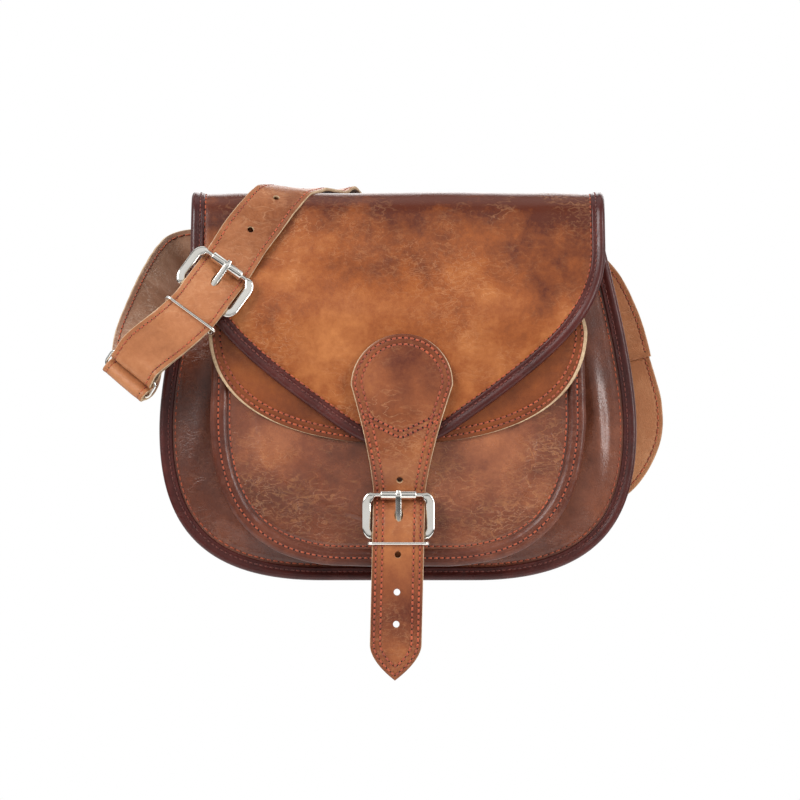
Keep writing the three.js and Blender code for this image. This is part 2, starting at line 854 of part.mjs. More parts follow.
bag.add(
  part("back_panel", makeBackPanel(), colours.body, finishes.leather),
  part("front_panel", makeFrontPanel(), colours.body, finishes.leather),
  part("gusset", makeGusset(), colours.body, finishes.leather),
  part("front_binding", makeFrontBinding(), colours.binding, finishes.leather),
  part("back_binding", makeBackBinding(), colours.binding, finishes.leather),
  part("pocket_panel", makePocketPanel(), colours.pocket, finishes.leather),
  part("pocket_gusset", makePocketGusset(), colours.pocket, finishes.leather),
  part("pocket_flap", makePocketFlap(), colours.pocketFlap, finishes.leather),
  part("flap", makeFlap(), colours.flap, finishes.leather),
  part("flap_binding", makeFlapBinding(), colours.binding, finishes.leather),
  part("closure_strap", makeClosureStrap(), colours.closure, finishes.leather),
  part("closure_chape", makeChape(), colours.closure, finishes.leather),
  part("shoulder_strap_front", makeShoulderFront(), colours.strap, finishes.leather),
  part("shoulder_strap_rear", makeShoulderRear(), colours.strap, finishes.leather),
  part("left_strap_tab", makeLeftTab(), colours.strap, finishes.leather),
  part("right_strap_tab", makeRightTab(), colours.strap, finishes.leather),
  part("strap_ring", makeRing(), colours.nickel, finishes.metal),
);

const buckles = [
  { name: "closure", buckle: closureBuckle, keeper: [-15.4, 17.6, -5, 8.4] },
  { name: "shoulder", buckle: shoulderBuckle, keeper: [-24.8, 17, -4.2, 5.4] },
];

for (const { name, buckle, keeper } of buckles) {
  bag.add(
    part(name + "_buckle_frame", makeFrame(buckle), colours.nickel, finishes.metal),
    part(name + "_roller", makeRoller(buckle), colours.nickel, finishes.metal),
    part(name + "_prong", makeProng(buckle), colours.nickel, finishes.metal),
    part(name + "_keeper", makeKeeper(buckle, ...keeper), colours.nickel, finishes.metal),
  );
}

export default bag;
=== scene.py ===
"""A leather saddle bag: sewn and bound leather sheets, straps, thread and nickel hardware.

Lengths are in millimetres until a mesh is made. Every sheet and strap is a Strip: frames
along its middle, a half width at each frame, a thickness and a relief on its outer side.
"""
import math

import bpy
import numpy as np
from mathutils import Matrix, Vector


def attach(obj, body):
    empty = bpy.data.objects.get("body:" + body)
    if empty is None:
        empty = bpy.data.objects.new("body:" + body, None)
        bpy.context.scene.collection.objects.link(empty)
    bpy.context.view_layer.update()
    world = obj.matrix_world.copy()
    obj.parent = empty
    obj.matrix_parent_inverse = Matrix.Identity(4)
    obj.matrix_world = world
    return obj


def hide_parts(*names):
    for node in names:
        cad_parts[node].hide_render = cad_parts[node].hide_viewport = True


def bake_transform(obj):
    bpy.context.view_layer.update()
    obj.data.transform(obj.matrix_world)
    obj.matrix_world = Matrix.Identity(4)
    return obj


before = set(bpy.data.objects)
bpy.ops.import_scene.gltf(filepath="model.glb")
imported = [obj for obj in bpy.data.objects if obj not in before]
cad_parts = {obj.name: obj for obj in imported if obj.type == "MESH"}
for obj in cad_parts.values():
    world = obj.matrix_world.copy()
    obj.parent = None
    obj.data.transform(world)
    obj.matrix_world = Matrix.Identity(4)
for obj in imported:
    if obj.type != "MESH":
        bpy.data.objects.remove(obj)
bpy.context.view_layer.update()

MM = 0.001

# ---------------------------------------------------------------- the bag's own dimensions
LEATHER = 2.0
POCKET_FRONT = 58.0
FOLD_Y = 36.0
CROWN = 219.5
FLAP_FRONT = 64.6
FLAP_TIP = 70.5
POCKET_FLAP_FRONT = 59.6
STRAP_WIDTH = 30.0
STRAP_THICKNESS = 2.2
CLOSURE_THICKNESS = 3.0
HEAD_RADIUS, HEAD_HEIGHT = 29.9, 108.0
CLOSURE_HALF_WIDTH = 15.2
TAIL_TIP = -65.0
CLOSURE_ROWS = (2.3, 6.0)  # how far the rows of stitches lie inside the edge
POCKET_FLAP_ROWS = (3.0, 6.6)
POCKET_SEAM = 1.6
STITCH_PITCH = 3.4
WIRE_RADIUS = 0.9
PRONG_HOLE = (2.5, 4.6)  # half across and half along
PUNCHED_HOLE = 1.9
EDGE_LAP = 7.5  # how far the bindings reach in over the panels

# where sheets span a joint: (fixed body, moving body, start, end), in metres
AT_FOLD = ("bag", "flap", (0, 0.0375, 0.2), (0, 0.022, 0.2))
STRAP_AT_FOLD = ("bag", "shoulder_strap", (0, 0.0375, 0.2), (0, 0.022, 0.2))
TAB_TO_RING = ("bag", "shoulder_strap", (0, 0.034, 0.18), (0, -0.045, 0.18))
AT_POCKET_FLAP = ("bag", "pocket_flap", (0, -0.0392, 0.158), (0, -0.052, 0.158))


# ---------------------------------------------------------------- small geometry helpers
def array(*rows):
    return np.array(rows, float)


def unit(v):
    v = np.asarray(v, float)
    return v / np.maximum(np.linalg.norm(v, axis=-1, keepdims=True), 1e-9)


def lengths_along(points):
    """How far along the polyline each of its points lies."""
    steps = np.linalg.norm(np.diff(points, axis=0), axis=1)
    return np.concatenate([[0.0], np.cumsum(steps)])


def resampled(points, spacing):
    """The polyline with points at even distances along it."""
    along = lengths_along(points)
    count = max(int(round(along[-1] / spacing)), 2)
    at = np.linspace(0, along[-1], count + 1)
    return np.stack([np.interp(at, along, points[:, k]) for k in range(points.shape[1])], 1)


def path(start, *pieces, steps=40):
    """A 2D polyline of lines, quadratic and cubic Bezier curves. A piece lists the control
    points after the last one, ending with where it goes."""
    points = [np.array(start, float)]
    for piece in pieces:
        control = [points[-1]] + [np.array(p, float) for p in piece]
        degree = len(control) - 1
        for t in np.linspace(0, 1, steps + 1)[1:]:
            weights = [math.comb(degree, k) * t**k * (1 - t) ** (degree - k)
                       for k in range(degree + 1)]
            points.append(sum(w * c for w, c in zip(weights, control)))
    return np.array(points)


def spline(points, steps):
    """A smooth curve through the points (centripetal Catmull-Rom), with even steps a span."""
    p = np.array(points, float)
    p = np.vstack([2 * p[0] - p[1], p, 2 * p[-1] - p[-2]])
    out = []
    for a, b, c, d in zip(p, p[1:], p[2:], p[3:]):
        gap = np.linalg.norm(c - b) ** 0.5
        gap = gap if gap > 1e-4 else 1.0
        before = np.linalg.norm(b - a) ** 0.5
        before = before if before > 1e-4 else gap
        after = np.linalg.norm(d - c) ** 0.5
        after = after if after > 1e-4 else gap
        leave = ((b - a) / before - (c - a) / (before + gap) + (c - b) / gap) * gap
        arrive = ((c - b) / gap - (d - b) / (gap + after) + (d - c) / after) * gap
        t = np.linspace(0, 1, steps + 1)[:-1, None]
        out.append((2 * t**3 - 3 * t**2 + 1) * b + (t**3 - 2 * t**2 + t) * leave
                   + (3 * t**2 - 2 * t**3) * c + (t**3 - t**2) * arrive)
    return np.vstack(out + [p[-2:-1]])


def tangents(points, loop=False):
    """The unit direction of a polyline at each of its points."""
    if loop:
        return unit(np.roll(points, -1, axis=0) - np.roll(points, 1, axis=0))
    return unit(np.gradient(points, axis=0))


def smooth_section(points, steps=4):
    """A closed section rounded through its points."""
    p = np.array(points, float)
    wrapped = np.vstack([p[-2:], p, p[:2]])
    fine = spline(wrapped, steps)
    return fine[2 * steps : 2 * steps + len(p) * steps]


def hump(x, width):
    """1 at zero, falling away on both sides."""
    return np.exp(-((x / width) ** 2))


def ramp(x, low, high):
    """0 up to low, 1 from high on, and smooth between."""
    t = np.clip((x - low) / (high - low), 0, 1)
    return t * t * (3 - 2 * t)


def lumps(x, y, size, seed, octaves=3):
    """Smooth uneven ground about 1 high, repeatable, with features about `size` across."""
    dice = np.random.default_rng(seed)
    total = np.zeros(np.broadcast(x, y).shape)
    for octave in range(octaves):
        for _ in range(4):
            turn, shift_x, shift_y = dice.uniform(0, 2 * math.pi, 3)
            wave = 2 * math.pi / size * 0.7 * 2**octave * dice.uniform(0.7, 1.3)
            u = x * math.cos(turn) + y * math.sin(turn)
            v = y * math.cos(turn) - x * math.sin(turn)
            total = total + np.sin(u * wave + shift_x) * np.cos(v * wave * 0.6 + shift_y) / 2**octave
    return total / 4


# ---------------------------------------------------------------- making meshes
def make_object(name, points, faces, material_ids, materials, smooth=True):
    mesh = bpy.data.meshes.new(name)
    mesh.from_pydata((np.asarray(points) * MM).tolist(), [], faces)
    for material in materials:
        mesh.materials.append(material)
    mesh.polygons.foreach_set("material_index", np.asarray(material_ids, np.int32))
    mesh.polygons.foreach_set("use_smooth", np.full(len(faces), smooth))
    mesh.update()
    obj = bpy.data.objects.new(name, mesh)
    bpy.context.scene.collection.objects.link(obj)
    return obj


def faces_point_in(points, faces):
    p = np.asarray(points)
    quads = np.array([f for f in faces if len(f) == 4])
    a, b, c, d = (p[quads[:, k]] for k in range(4))
    volume = np.einsum("ij,ij->i", a, np.cross(b, c)) + np.einsum("ij,ij->i", a, np.cross(c, d))
    return volume.sum() < 0


def skin(name, rows, materials, bands=None, loop=False):
    """A closed mesh over rows of closed sections. bands gives each side's material."""
    count, sides, _ = rows.shape
    bands = np.zeros(sides, int) if bands is None else np.asarray(bands)
    index = np.arange(count * sides).reshape(count, sides)
    near = index if loop else index[:-1]
    far = np.roll(index, -1, axis=0) if loop else index[1:]
    quads = np.stack([near, np.roll(near, -1, 1), np.roll(far, -1, 1), far], -1)
    faces = quads.reshape(-1, 4).tolist()
    ids = np.tile(bands, len(near)).tolist()
    if not loop:
        faces += [index[0][::-1].tolist(), index[-1].tolist()]
        ids += [int(bands.max())] * 2
    points = rows.reshape(-1, 3)
    if faces_point_in(points, faces):
        faces = [f[::-1] for f in faces]
    return make_object(name, points, faces, ids, materials)


def sweep(name, centre, across, out, section, materials, loop=False):
    """Carries a (across, out) section along frames. The section can differ at each one."""
    section = np.broadcast_to(section, (len(centre),) + np.shape(section)[-2:])
    rows = (centre[:, None] + across[:, None] * section[..., :1]
            + out[:, None] * section[..., 1:])
    return skin(name, rows, materials, loop=loop)


def no_relief(a, u, d):
    return np.zeros(np.broadcast(a, u).shape)


class Strip:
    """Leather along a line. Its flat pattern has a across it and u along it."""

    def __init__(self, centre, across, out, half_width, thickness, relief=no_relief):
        self.centre, self.across, self.out = centre, unit(across), unit(out)
        self.half_width = np.broadcast_to(np.asarray(half_width, float), (len(centre),))
        self.thickness, self.relief = thickness, relief
        self.u = lengths_along(centre)
        right = np.stack([self.half_width, self.u], 1)
        self.right_edge = right
        ends = [np.stack([np.linspace(-h[0], h[0], 40), np.full(40, h[1])], 1)
                for h in (right[0], right[-1])]
        close = resampled(right, 1.0)
        self.rim = np.vstack([close, close * [-1, 1], *ends])

    def length(self):
        return self.u[-1]

    def edge_distance(self, a, u):
        flat = np.stack([np.abs(a).ravel(), u.ravel()], 1)
        rim = self.rim[self.rim[:, 0] >= 0]
        best = np.full(len(flat), 1e9)
        for start in range(0, len(flat), 20000):
            block = flat[start : start + 20000]
            near = ((block[:, None] - rim[None]) ** 2).sum(-1).min(1)
            best[start : start + 20000] = np.sqrt(near)
        return best.reshape(a.shape)

    def frame_at(self, u):
        pick = [np.stack([np.interp(u, self.u, v[:, k]) for k in range(3)], -1)
                for v in (self.centre, self.across, self.out)]
        return pick[0], unit(pick[1]), unit(pick[2])

    def outer(self, a, u, above=0.0):
        """Points on the outer face, or above it, with the outward directions there."""
        a, u = np.broadcast_arrays(np.asarray(a, float), np.asarray(u, float))
        centre, across, out = self.frame_at(u)
        height = self.thickness / 2 + self.relief(a, u, self.edge_distance(a, u)) + above
        return centre + across * a[..., None] + out * height[..., None], out

    def inner(self, a, u, below=0.0):
        centre, across, out = self.frame_at(np.asarray(u, float))
        height = -self.thickness / 2 - below
        return centre + across * np.asarray(a, float)[..., None] + out * height, -out

    def inset(self, distance, spacing=1.0):
        """The right-hand edge moved in, as (a, u), from the first end to the last."""
        along = tangents(self.right_edge)
        moved = self.right_edge + distance * np.stack([-along[:, 1], along[:, 0]], 1)
        keep = (moved[:, 0] > 0) & (moved[:, 1] > 0) & (moved[:, 1] < self.u[-1])
        return resampled(moved[keep], spacing)

    def mesh(self, name, materials, columns=40):
        """The closed mesh. The materials are the grain side, the cut edge and the back."""
        near_edge = array(1, 0.994, 0.982, 0.965, 0.94)
        inside = np.linspace(0.94, -0.94, columns)[1:-1]
        share = np.concatenate([near_edge, inside, -near_edge[::-1]])
        a = self.half_width[:, None] * share
        u = np.broadcast_to(self.u[:, None], a.shape)
        d = self.edge_distance(a, u)
        radius = self.thickness * 0.42
        fall = radius - np.sqrt(np.maximum(radius**2 - np.maximum(radius - d, 0) ** 2, 0))
        top = self.thickness / 2 + self.relief(a, u, d) - fall
        bottom = -self.thickness / 2 + fall * 0.7
        middle = self.centre[:, None] + self.across[:, None] * a[..., None]
        upper = middle + self.out[:, None] * top[..., None]
        lower = middle + self.out[:, None] * bottom[..., None]
        rows = np.concatenate([upper, lower[:, ::-1]], 1)
        sides = len(share)
        bands = np.zeros(2 * sides, int)
        bands[: 2] = bands[sides - 3 : sides + 2] = bands[-3:] = 1
        bands[sides + 2 : -3] = 2
        obj = skin(name, rows, materials, bands)
        wear = np.concatenate([d, d[:, ::-1]], 1).ravel()
        store(obj, "edge", np.clip(1 - wear / 9, 0, 1))
        return obj


def store(obj, name, values):
    """A value at each vertex, for a material to read."""
    attribute = obj.data.attributes.new(name, "FLOAT", "POINT")
    attribute.data.foreach_set("value", np.asarray(values, np.float32))


def place(objects, where):
    """Rides on a body; a piece between two bodies only has its transform baked in."""
    for obj in objects:
        if isinstance(where, str):
            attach(obj, where)
        else:
            body, moving, start, end = where
            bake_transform(obj)
            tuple(start)
            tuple(end)


def dress(objects, where):
    """Puts pieces on their body, through place."""
    place(objects, where)


def settle(obj, node, where):
    """Puts a piece in a CAD node's place."""
    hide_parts(node)
    dress([obj], where)


# ---------------------------------------------------------------- thread
def thread(name, starts, ends, out, radius, materials):
    """One short arched thread from each start to each end."""
    sides, steps = 8, 7
    t = np.linspace(0, 1, steps)
    lift = radius * (1.5 * np.sqrt(np.clip(np.sin(math.pi * t), 0, 1)) - 0.9)
    girth = radius * (0.75 + 0.25 * np.sin(math.pi * t))
    along = unit(ends - starts)
    side = unit(np.cross(along, out))
    angle = np.linspace(0, 2 * math.pi, sides, endpoint=False)
    centre = (starts[:, None] + (ends - starts)[:, None] * t[:, None]
              + out[:, None] * lift[:, None])
    ring = (side[:, None, None] * np.cos(angle)[:, None] * 1.15
            + out[:, None, None] * np.sin(angle)[:, None] * 0.85)
    rows = centre[:, :, None] + ring * girth[None, :, None, None]
    index = np.arange(rows.size // 3).reshape(len(starts), steps, sides)
    near, far = index[:, :-1], index[:, 1:]
    quads = np.stack([near, np.roll(near, -1, 2), np.roll(far, -1, 2), far], -1)
    faces = quads.reshape(-1, 4).tolist()
    faces += index[:, 0, ::-1].tolist() + index[:, -1].tolist()
    points = rows.reshape(-1, 3)
    if faces_point_in(points, faces):
        faces = [f[::-1] for f in faces]
    return make_object(name, points, faces, [0] * len(faces), materials)


def thread_row(name, points, out, gap, radius, material):
    """Threads from point to point, with a gap at each needle hole."""
    along = tangents(points)
    return thread(name, points[:-1] + along[:-1] * gap, points[1:] - along[1:] * gap, out,
                  radius, [material])


def needle_holes(name, centres, out, along, radius, material):
    """A shallow cup at each needle hole, a little longer than wide, near-black with painted shade."""
    angle = np.linspace(0, 2 * math.pi, 8, endpoint=False)
    side = unit(np.cross(along, out))
    rim = (along[:, None] * np.cos(angle)[:, None] * 1.25 + side[:, None] * np.sin(angle)[:, None])
    outer = centres[:, None] + rim * radius + out[:, None] * 0.05
    foot = centres[:, None] + rim * radius * 1.3 - out[:, None] * 0.25
    rows = np.stack([outer, foot], 1)
    index = np.arange(rows.size // 3).reshape(len(centres), 2, 8)
    sides = np.stack([index[:, 1], np.roll(index[:, 1], -1, 1),
                      np.roll(index[:, 0], -1, 1), index[:, 0]], -1)
    faces = sides.reshape(-1, 4).tolist() + index[:, 0].tolist() + index[:, 1, ::-1].tolist()
    return make_object(name, rows.reshape(-1, 3), faces, [0] * len(faces), [material],
                       smooth=False)


def sew(name, strip, lines, where, pitch=STITCH_PITCH, radius=0.46, inside=False):
    """Thread and needle holes along lines of a strip's flat pattern."""
    starts, ends, outs, holes, hole_outs, alongs = [], [], [], [], [], []
    face = strip.inner if inside else strip.outer
    for line in lines:
        knots = resampled(np.asarray(line, float), pitch)
        points, out = face(knots[:, 0], knots[:, 1])
        along = tangents(points)
        starts.append(points[:-1] + along[:-1] * 0.3)
        ends.append(points[1:] - along[1:] * 0.3)
        outs.append(unit(out[:-1] + out[1:]))
        holes.append(points)
        hole_outs.append(out)
        alongs.append(along)
    sewn = thread(name, np.vstack(starts), np.vstack(ends), np.vstack(outs), radius, [THREAD])
    dots = needle_holes(name + "_holes", np.vstack(holes), np.vstack(hole_outs),
                        np.vstack(alongs), radius * 1.1, HOLE)
    dress([sewn, dots], where)


def both_sides(line):
    """A line of the right half, and its mirror image."""
    return [line, line * [-1, 1]]


def round_the_end(line):
    """Down the right side, round the far end and up the left side."""
    return [np.vstack([line, line[::-1] * [-1, 1]])]


# ---------------------------------------------------------------- materials
class Nodes:
    """A short way to build a material's node tree."""

    def __init__(self, name):
        self.material = bpy.data.materials.new(name)
        self.material.use_nodes = True
        self.tree = self.material.node_tree
        self.shader = self.tree.nodes["Principled BSDF"]
        self.where = self.add("ShaderNodeTexCoord").outputs["Object"]

    def add(self, kind, **settings):
        node = self.tree.nodes.new(kind)
        for key, value in settings.items():
            if key in node.inputs.keys():
                node.inputs[key].default_value = value
            else:
                setattr(node, key, value)
        return node

    def link(self, source, target):
        self.tree.links.new(source, target)
        return target

    def noise(self, scale, detail=4, roughness=0.6, distortion=0.0, stretch=None, lean=0.0):
        node = self.add("ShaderNodeTexNoise", Scale=scale, Detail=detail,
                        Roughness=roughness, Distortion=distortion)
        if stretch:
            mapping = self.add("ShaderNodeMapping", Scale=stretch, Rotation=(0, lean, 0))
            self.link(self.where, mapping.inputs["Vector"])
            self.link(mapping.outputs[0], node.inputs["Vector"])
        else:
            self.link(self.where, node.inputs["Vector"])
        return node.outputs["Fac"]

    def cells(self, scale):
        node = self.add("ShaderNodeTexVoronoi", Scale=scale)
        self.link(self.where, node.inputs["Vector"])
        return node.outputs["Distance"]

    def spot(self, x, z, across, up):
        """One at a place on the bag's front, fading to nothing over the given reach in mm."""
        mapping = self.add("ShaderNodeMapping", Location=(-x / across, 0, -z / up),
                           Scale=(1 / (across * MM), 0, 1 / (up * MM)))
        gradient = self.add("ShaderNodeTexGradient", gradient_type="SPHERICAL")
        self.link(self.where, mapping.inputs["Vector"])
        self.link(mapping.outputs[0], gradient.inputs["Vector"])
        return gradient.outputs["Fac"]

    def remap(self, value, low, high, to_low=0.0, to_high=1.0):
        node = self.add("ShaderNodeMapRange")
        for key, number in zip(("From Min", "From Max", "To Min", "To Max"),
                               (low, high, to_low, to_high)):
            node.inputs[key].default_value = number
        self.link(value, node.inputs["Value"])
        return node.outputs[0]

    def math(self, operation, a, b):
        node = self.add("ShaderNodeMath", operation=operation)
        for slot, value in zip(node.inputs, (a, b)):
            if isinstance(value, (int, float)):
                slot.default_value = value
            else:
                self.link(value, slot)
        return node.outputs[0]

    def ramp(self, value, *stops):
        node = self.add("ShaderNodeValToRGB")
        elements = node.color_ramp.elements
        while len(elements) < len(stops):
            elements.new(0.5)
        for element, (position, colour) in zip(elements, stops):
            element.position = position
            element.color = (*colour, 1)
        self.link(value, node.inputs["Fac"])
        return node.outputs["Color"]

    def mix(self, factor, a, b):
        node = self.add("ShaderNodeMix", data_type="RGBA")
        colours = [s for s in node.inputs if s.type == "RGBA"]
        for slot, value in zip([node.inputs[0], *colours], (factor, a, b)):
            if isinstance(value, (int, float)):
                slot.default_value = value
            elif isinstance(value, tuple):
                slot.default_value = (*value, 1)
            else:
                self.link(value, slot)
        return [s for s in node.outputs if s.type == "RGBA"][0]

    def attribute(self, name):
        return self.add("ShaderNodeAttribute", attribute_name=name).outputs["Fac"]

    def finish(self, colour, roughness, height, depth, strength=1.0, **constants):
        self.link(colour, self.shader.inputs["Base Color"])
        self.link(roughness, self.shader.inputs["Roughness"])
        bump = self.add("ShaderNodeBump", Strength=strength, Distance=depth * MM)
        self.link(height, bump.inputs["Height"])
        self.link(bump.outputs[0], self.shader.inputs["Normal"])
        for key, value in constants.items():
            self.shader.inputs[key].default_value = value
        return self.material


def srgb(r, g, b):
    """A colour given in screen values from 0 to 255."""
    def linear(c):
        c = c / 255
        return c / 12.92 if c < 0.04045 else ((c + 0.055) / 1.055) ** 2.4
    return linear(r), linear(g), linear(b)


def waxed_leather(name, dark, middle, light, crease, mottle=16, contrast=1.0, gloss=0.4,
                  creases=0.5, grain=0.35, edge_dark=0.45, stains_and_painted_light=(),
                  specular=0.32):
    """Pull-up leather: cloudy colour, pale stretch lines, fine grain and waxed gloss."""
    n = Nodes(name)
    cloud = n.noise(mottle, detail=3, roughness=0.55, distortion=0.6)
    patch = n.noise(mottle * 3.6, detail=5, roughness=0.65, distortion=0.3)
    fine = n.noise(mottle * 22, detail=6, roughness=0.75)
    tone = n.math("ADD", n.math("MULTIPLY", cloud, 0.5), n.math("MULTIPLY", patch, 0.32))
    tone = n.math("ADD", tone, n.math("MULTIPLY", fine, 0.18))
    # Listed spots darken or pale the tone: some are stains, some are painted shade and painted
    # highlights.
    for x, z, across, up, amount in stains_and_painted_light:
        tone = n.math("SUBTRACT", tone, n.math("MULTIPLY", n.spot(x, z, across, up), amount))
    tone = n.remap(tone, 0.5 - 0.19 / contrast, 0.5 + 0.19 / contrast)
    colour = n.ramp(tone, (0.0, dark), (0.48, middle), (1.0, light))
    stretched = None
    for scale, lean in ((15, 0.75), (9, -0.6)):
        strands = n.noise(mottle * scale, detail=4, roughness=0.5, distortion=0.5,
                          stretch=(0.7, 1, 1.4), lean=lean)
        strands = n.math("ABSOLUTE", n.math("SUBTRACT", strands, 0.5), 0.0)
        strands = n.remap(strands, 0.0, 0.03, 1.0, 0.0)
        where = n.remap(n.noise(mottle * 1.3, detail=3, distortion=lean), 0.47, 0.66)
        strands = n.math("MULTIPLY", strands, where)
        stretched = n.math("MAXIMUM", strands, stretched) if stretched else strands
    colour = n.mix(n.math("MULTIPLY", stretched, creases), colour, crease)
    edge = n.remap(n.attribute("edge"), 0.25, 1.0)
    edge = n.math("MULTIPLY", edge, n.remap(patch, 0.3, 0.6, 0.5, 1.0))
    colour = n.mix(n.math("MULTIPLY", edge, edge_dark), colour, dark)
    pores = n.cells(1150)
    pebble = n.noise(780, detail=2)
    height = n.math("ADD", n.math("MULTIPLY", pores, grain), n.math("MULTIPLY", pebble, grain))
    height = n.math("SUBTRACT", height, n.math("MULTIPLY", stretched, 0.5))
    height = n.math("ADD", height, n.math("MULTIPLY", n.noise(150, detail=3), 0.7))
    roughness = n.remap(patch, 0.3, 0.7, gloss + 0.1, gloss - 0.06)
    roughness = n.math("ADD", roughness, n.math("MULTIPLY", stretched, 0.12))
    return n.finish(colour, roughness, height, 0.26, 0.7, **{
        "Coat Weight": 0.12, "Coat Roughness": 0.2, "Specular IOR Level": specular})


def flesh_side(name, dark, light):
    """The unfinished back of leather: short matt fibres."""
    n = Nodes(name)
    fibre = n.noise(420, detail=6, roughness=0.8, distortion=1.0)
    colour = n.ramp(fibre, (0.25, dark), (0.75, light))
    return n.finish(colour, n.remap(fibre, 0, 1, 0.8, 0.95), fibre, 0.35, 0.8,
                    **{"Sheen Weight": 0.25, "Specular IOR Level": 0.25})


def cut_edge(name, dark, light):
    """A raw cut through the hide: layered pale fibres."""
    n = Nodes(name)
    layers = n.noise(900, detail=4, roughness=0.7)
    stain = n.noise(60, detail=3)
    colour = n.ramp(n.math("ADD", n.math("MULTIPLY", layers, 0.5), n.math("MULTIPLY", stain, 0.5)),
                    (0.3, dark), (0.6, light))
    return n.finish(colour, n.remap(layers, 0, 1, 0.6, 0.85), layers, 0.15, 0.7)


def waxed_thread(name, dark, light):
    n = Nodes(name)
    twist = n.noise(1500, detail=3, roughness=0.7)
    along = n.noise(90, detail=2)
    colour = n.ramp(n.math("ADD", n.math("MULTIPLY", twist, 0.5), n.math("MULTIPLY", along, 0.5)),
                    (0.35, dark), (0.62, light))
    return n.finish(colour, n.remap(twist, 0, 1, 0.45, 0.75), twist, 0.12, 0.8,
                    **{"Sheen Weight": 0.2})


def hollow(name):
    n = Nodes(name)
    hole_speckle = n.noise(700)
    # Painted shade: the near-black browns stand for the shade down inside a needle hole.
    colour = n.ramp(hole_speckle, (0.3, srgb(20, 8, 6)), (0.8, srgb(46, 20, 14)))
    return n.finish(colour, n.remap(hole_speckle, 0, 1, 0.8, 0.95), hole_speckle, 0.05, 0.3)


def nickel_plate(name):
    n = Nodes(name)
    smear = n.noise(55, detail=4, roughness=0.6)
    scratch = n.noise(420, detail=5, roughness=0.8, stretch=(1.0, 1.0, 0.12))
    colour = n.ramp(smear, (0.3, srgb(232, 228, 220)), (0.75, srgb(248, 246, 240)))
    roughness = n.math("ADD", n.remap(smear, 0.3, 0.7, 0.08, 0.16),
                       n.remap(scratch, 0.45, 0.75, 0.0, 0.1))
    return n.finish(colour, roughness, n.math("ADD", smear, n.math("MULTIPLY", scratch, 0.3)),
                    0.02, 0.15, Metallic=1.0)


# Painted light among the flap's spots: the wide dark band along the crown at z 234 is painted shade of
# the curved top, and the pale spots at (103, 138) on the lower right edge and at (-15, 162) in the
# middle are painted highlights.
FLAP_STAINS_AND_PAINTED_LIGHT = (  # x, z, reach across, reach up, and how much darker (or paler, below zero)
    (0, 234, 260, 40, 0.36), (105, 185, 60, 60, 0.14), (22, 190, 50, 30, 0.06),
    (-100, 205, 40, 60, 0.16), (-15, 162, 60, 40, -0.05),
    (60, 112, 60, 40, -0.1), (103, 138, 20, 34, -0.22), (-30, 178, 90, 8, 0.06))
FLAP = waxed_leather("flap_grain", srgb(84, 34, 16), srgb(146, 78, 36), srgb(188, 118, 66),
                     srgb(220, 160, 108), mottle=15, contrast=1.1, gloss=0.34, creases=0.26,
                     stains_and_painted_light=FLAP_STAINS_AND_PAINTED_LIGHT)
# Painted highlights: the pale spots at (112, 85) on the right side and at (-100, 25) low on the left
# stand for sheen.
BODY = waxed_leather("body_grain", srgb(58, 26, 18), srgb(98, 52, 36), srgb(142, 84, 60),
                     srgb(184, 124, 88), mottle=14, gloss=0.26, creases=0.14, specular=0.5,
                     stains_and_painted_light=((-122, 80, 40, 90, 0.08), (112, 85, 30, 60, -0.1),
                             (-100, 25, 40, 26, -0.12)))
# Painted highlights: the pale spots at (62, 78) and (-62, 78), high on the pocket, stand for sheen.
POCKET = waxed_leather("pocket_grain", srgb(74, 36, 24), srgb(120, 66, 44), srgb(172, 106, 70),
                       srgb(208, 146, 90), mottle=15, gloss=0.27, creases=0.32, specular=0.5,
                       stains_and_painted_light=((-50, 35, 60, 30, 0.12), (55, 30, 50, 24, 0.08), (62, 78, 30, 26, -0.14),
                               (-62, 78, 26, 30, -0.12)))
POCKET_FLAP = waxed_leather("pocket_flap_grain", srgb(84, 36, 16), srgb(132, 68, 32),
                            srgb(166, 94, 42), srgb(186, 118, 62), mottle=13, gloss=0.38,
                            creases=0.15)
BINDING = waxed_leather("binding_grain", srgb(44, 14, 12), srgb(72, 28, 24), srgb(96, 44, 38),
                        srgb(122, 72, 62), mottle=22, gloss=0.3, creases=0.12, grain=0.22)
RIM = waxed_leather("rim_grain", srgb(60, 26, 18), srgb(92, 46, 32), srgb(128, 74, 54),
                    srgb(180, 124, 96), mottle=24, gloss=0.3, creases=0.3)
CLOSURE = waxed_leather("closure_grain", srgb(94, 42, 24), srgb(140, 78, 46), srgb(180, 112, 66),
                        srgb(206, 150, 102), mottle=17, gloss=0.36, creases=0.35,
                        stains_and_painted_light=((2, 112, 34, 40, 0.2), (-2, -28, 40, 20, 0.12),
                                (-1, 16, 40, 26, -0.1)))
STRAP = waxed_leather("strap_grain", srgb(122, 66, 34), srgb(176, 112, 72), srgb(208, 148, 104),
                      srgb(216, 164, 122), mottle=12, contrast=0.9, gloss=0.42, creases=0.25,
                      grain=0.55, edge_dark=0.3, stains_and_painted_light=((-72, 205, 44, 34, 0.22),))
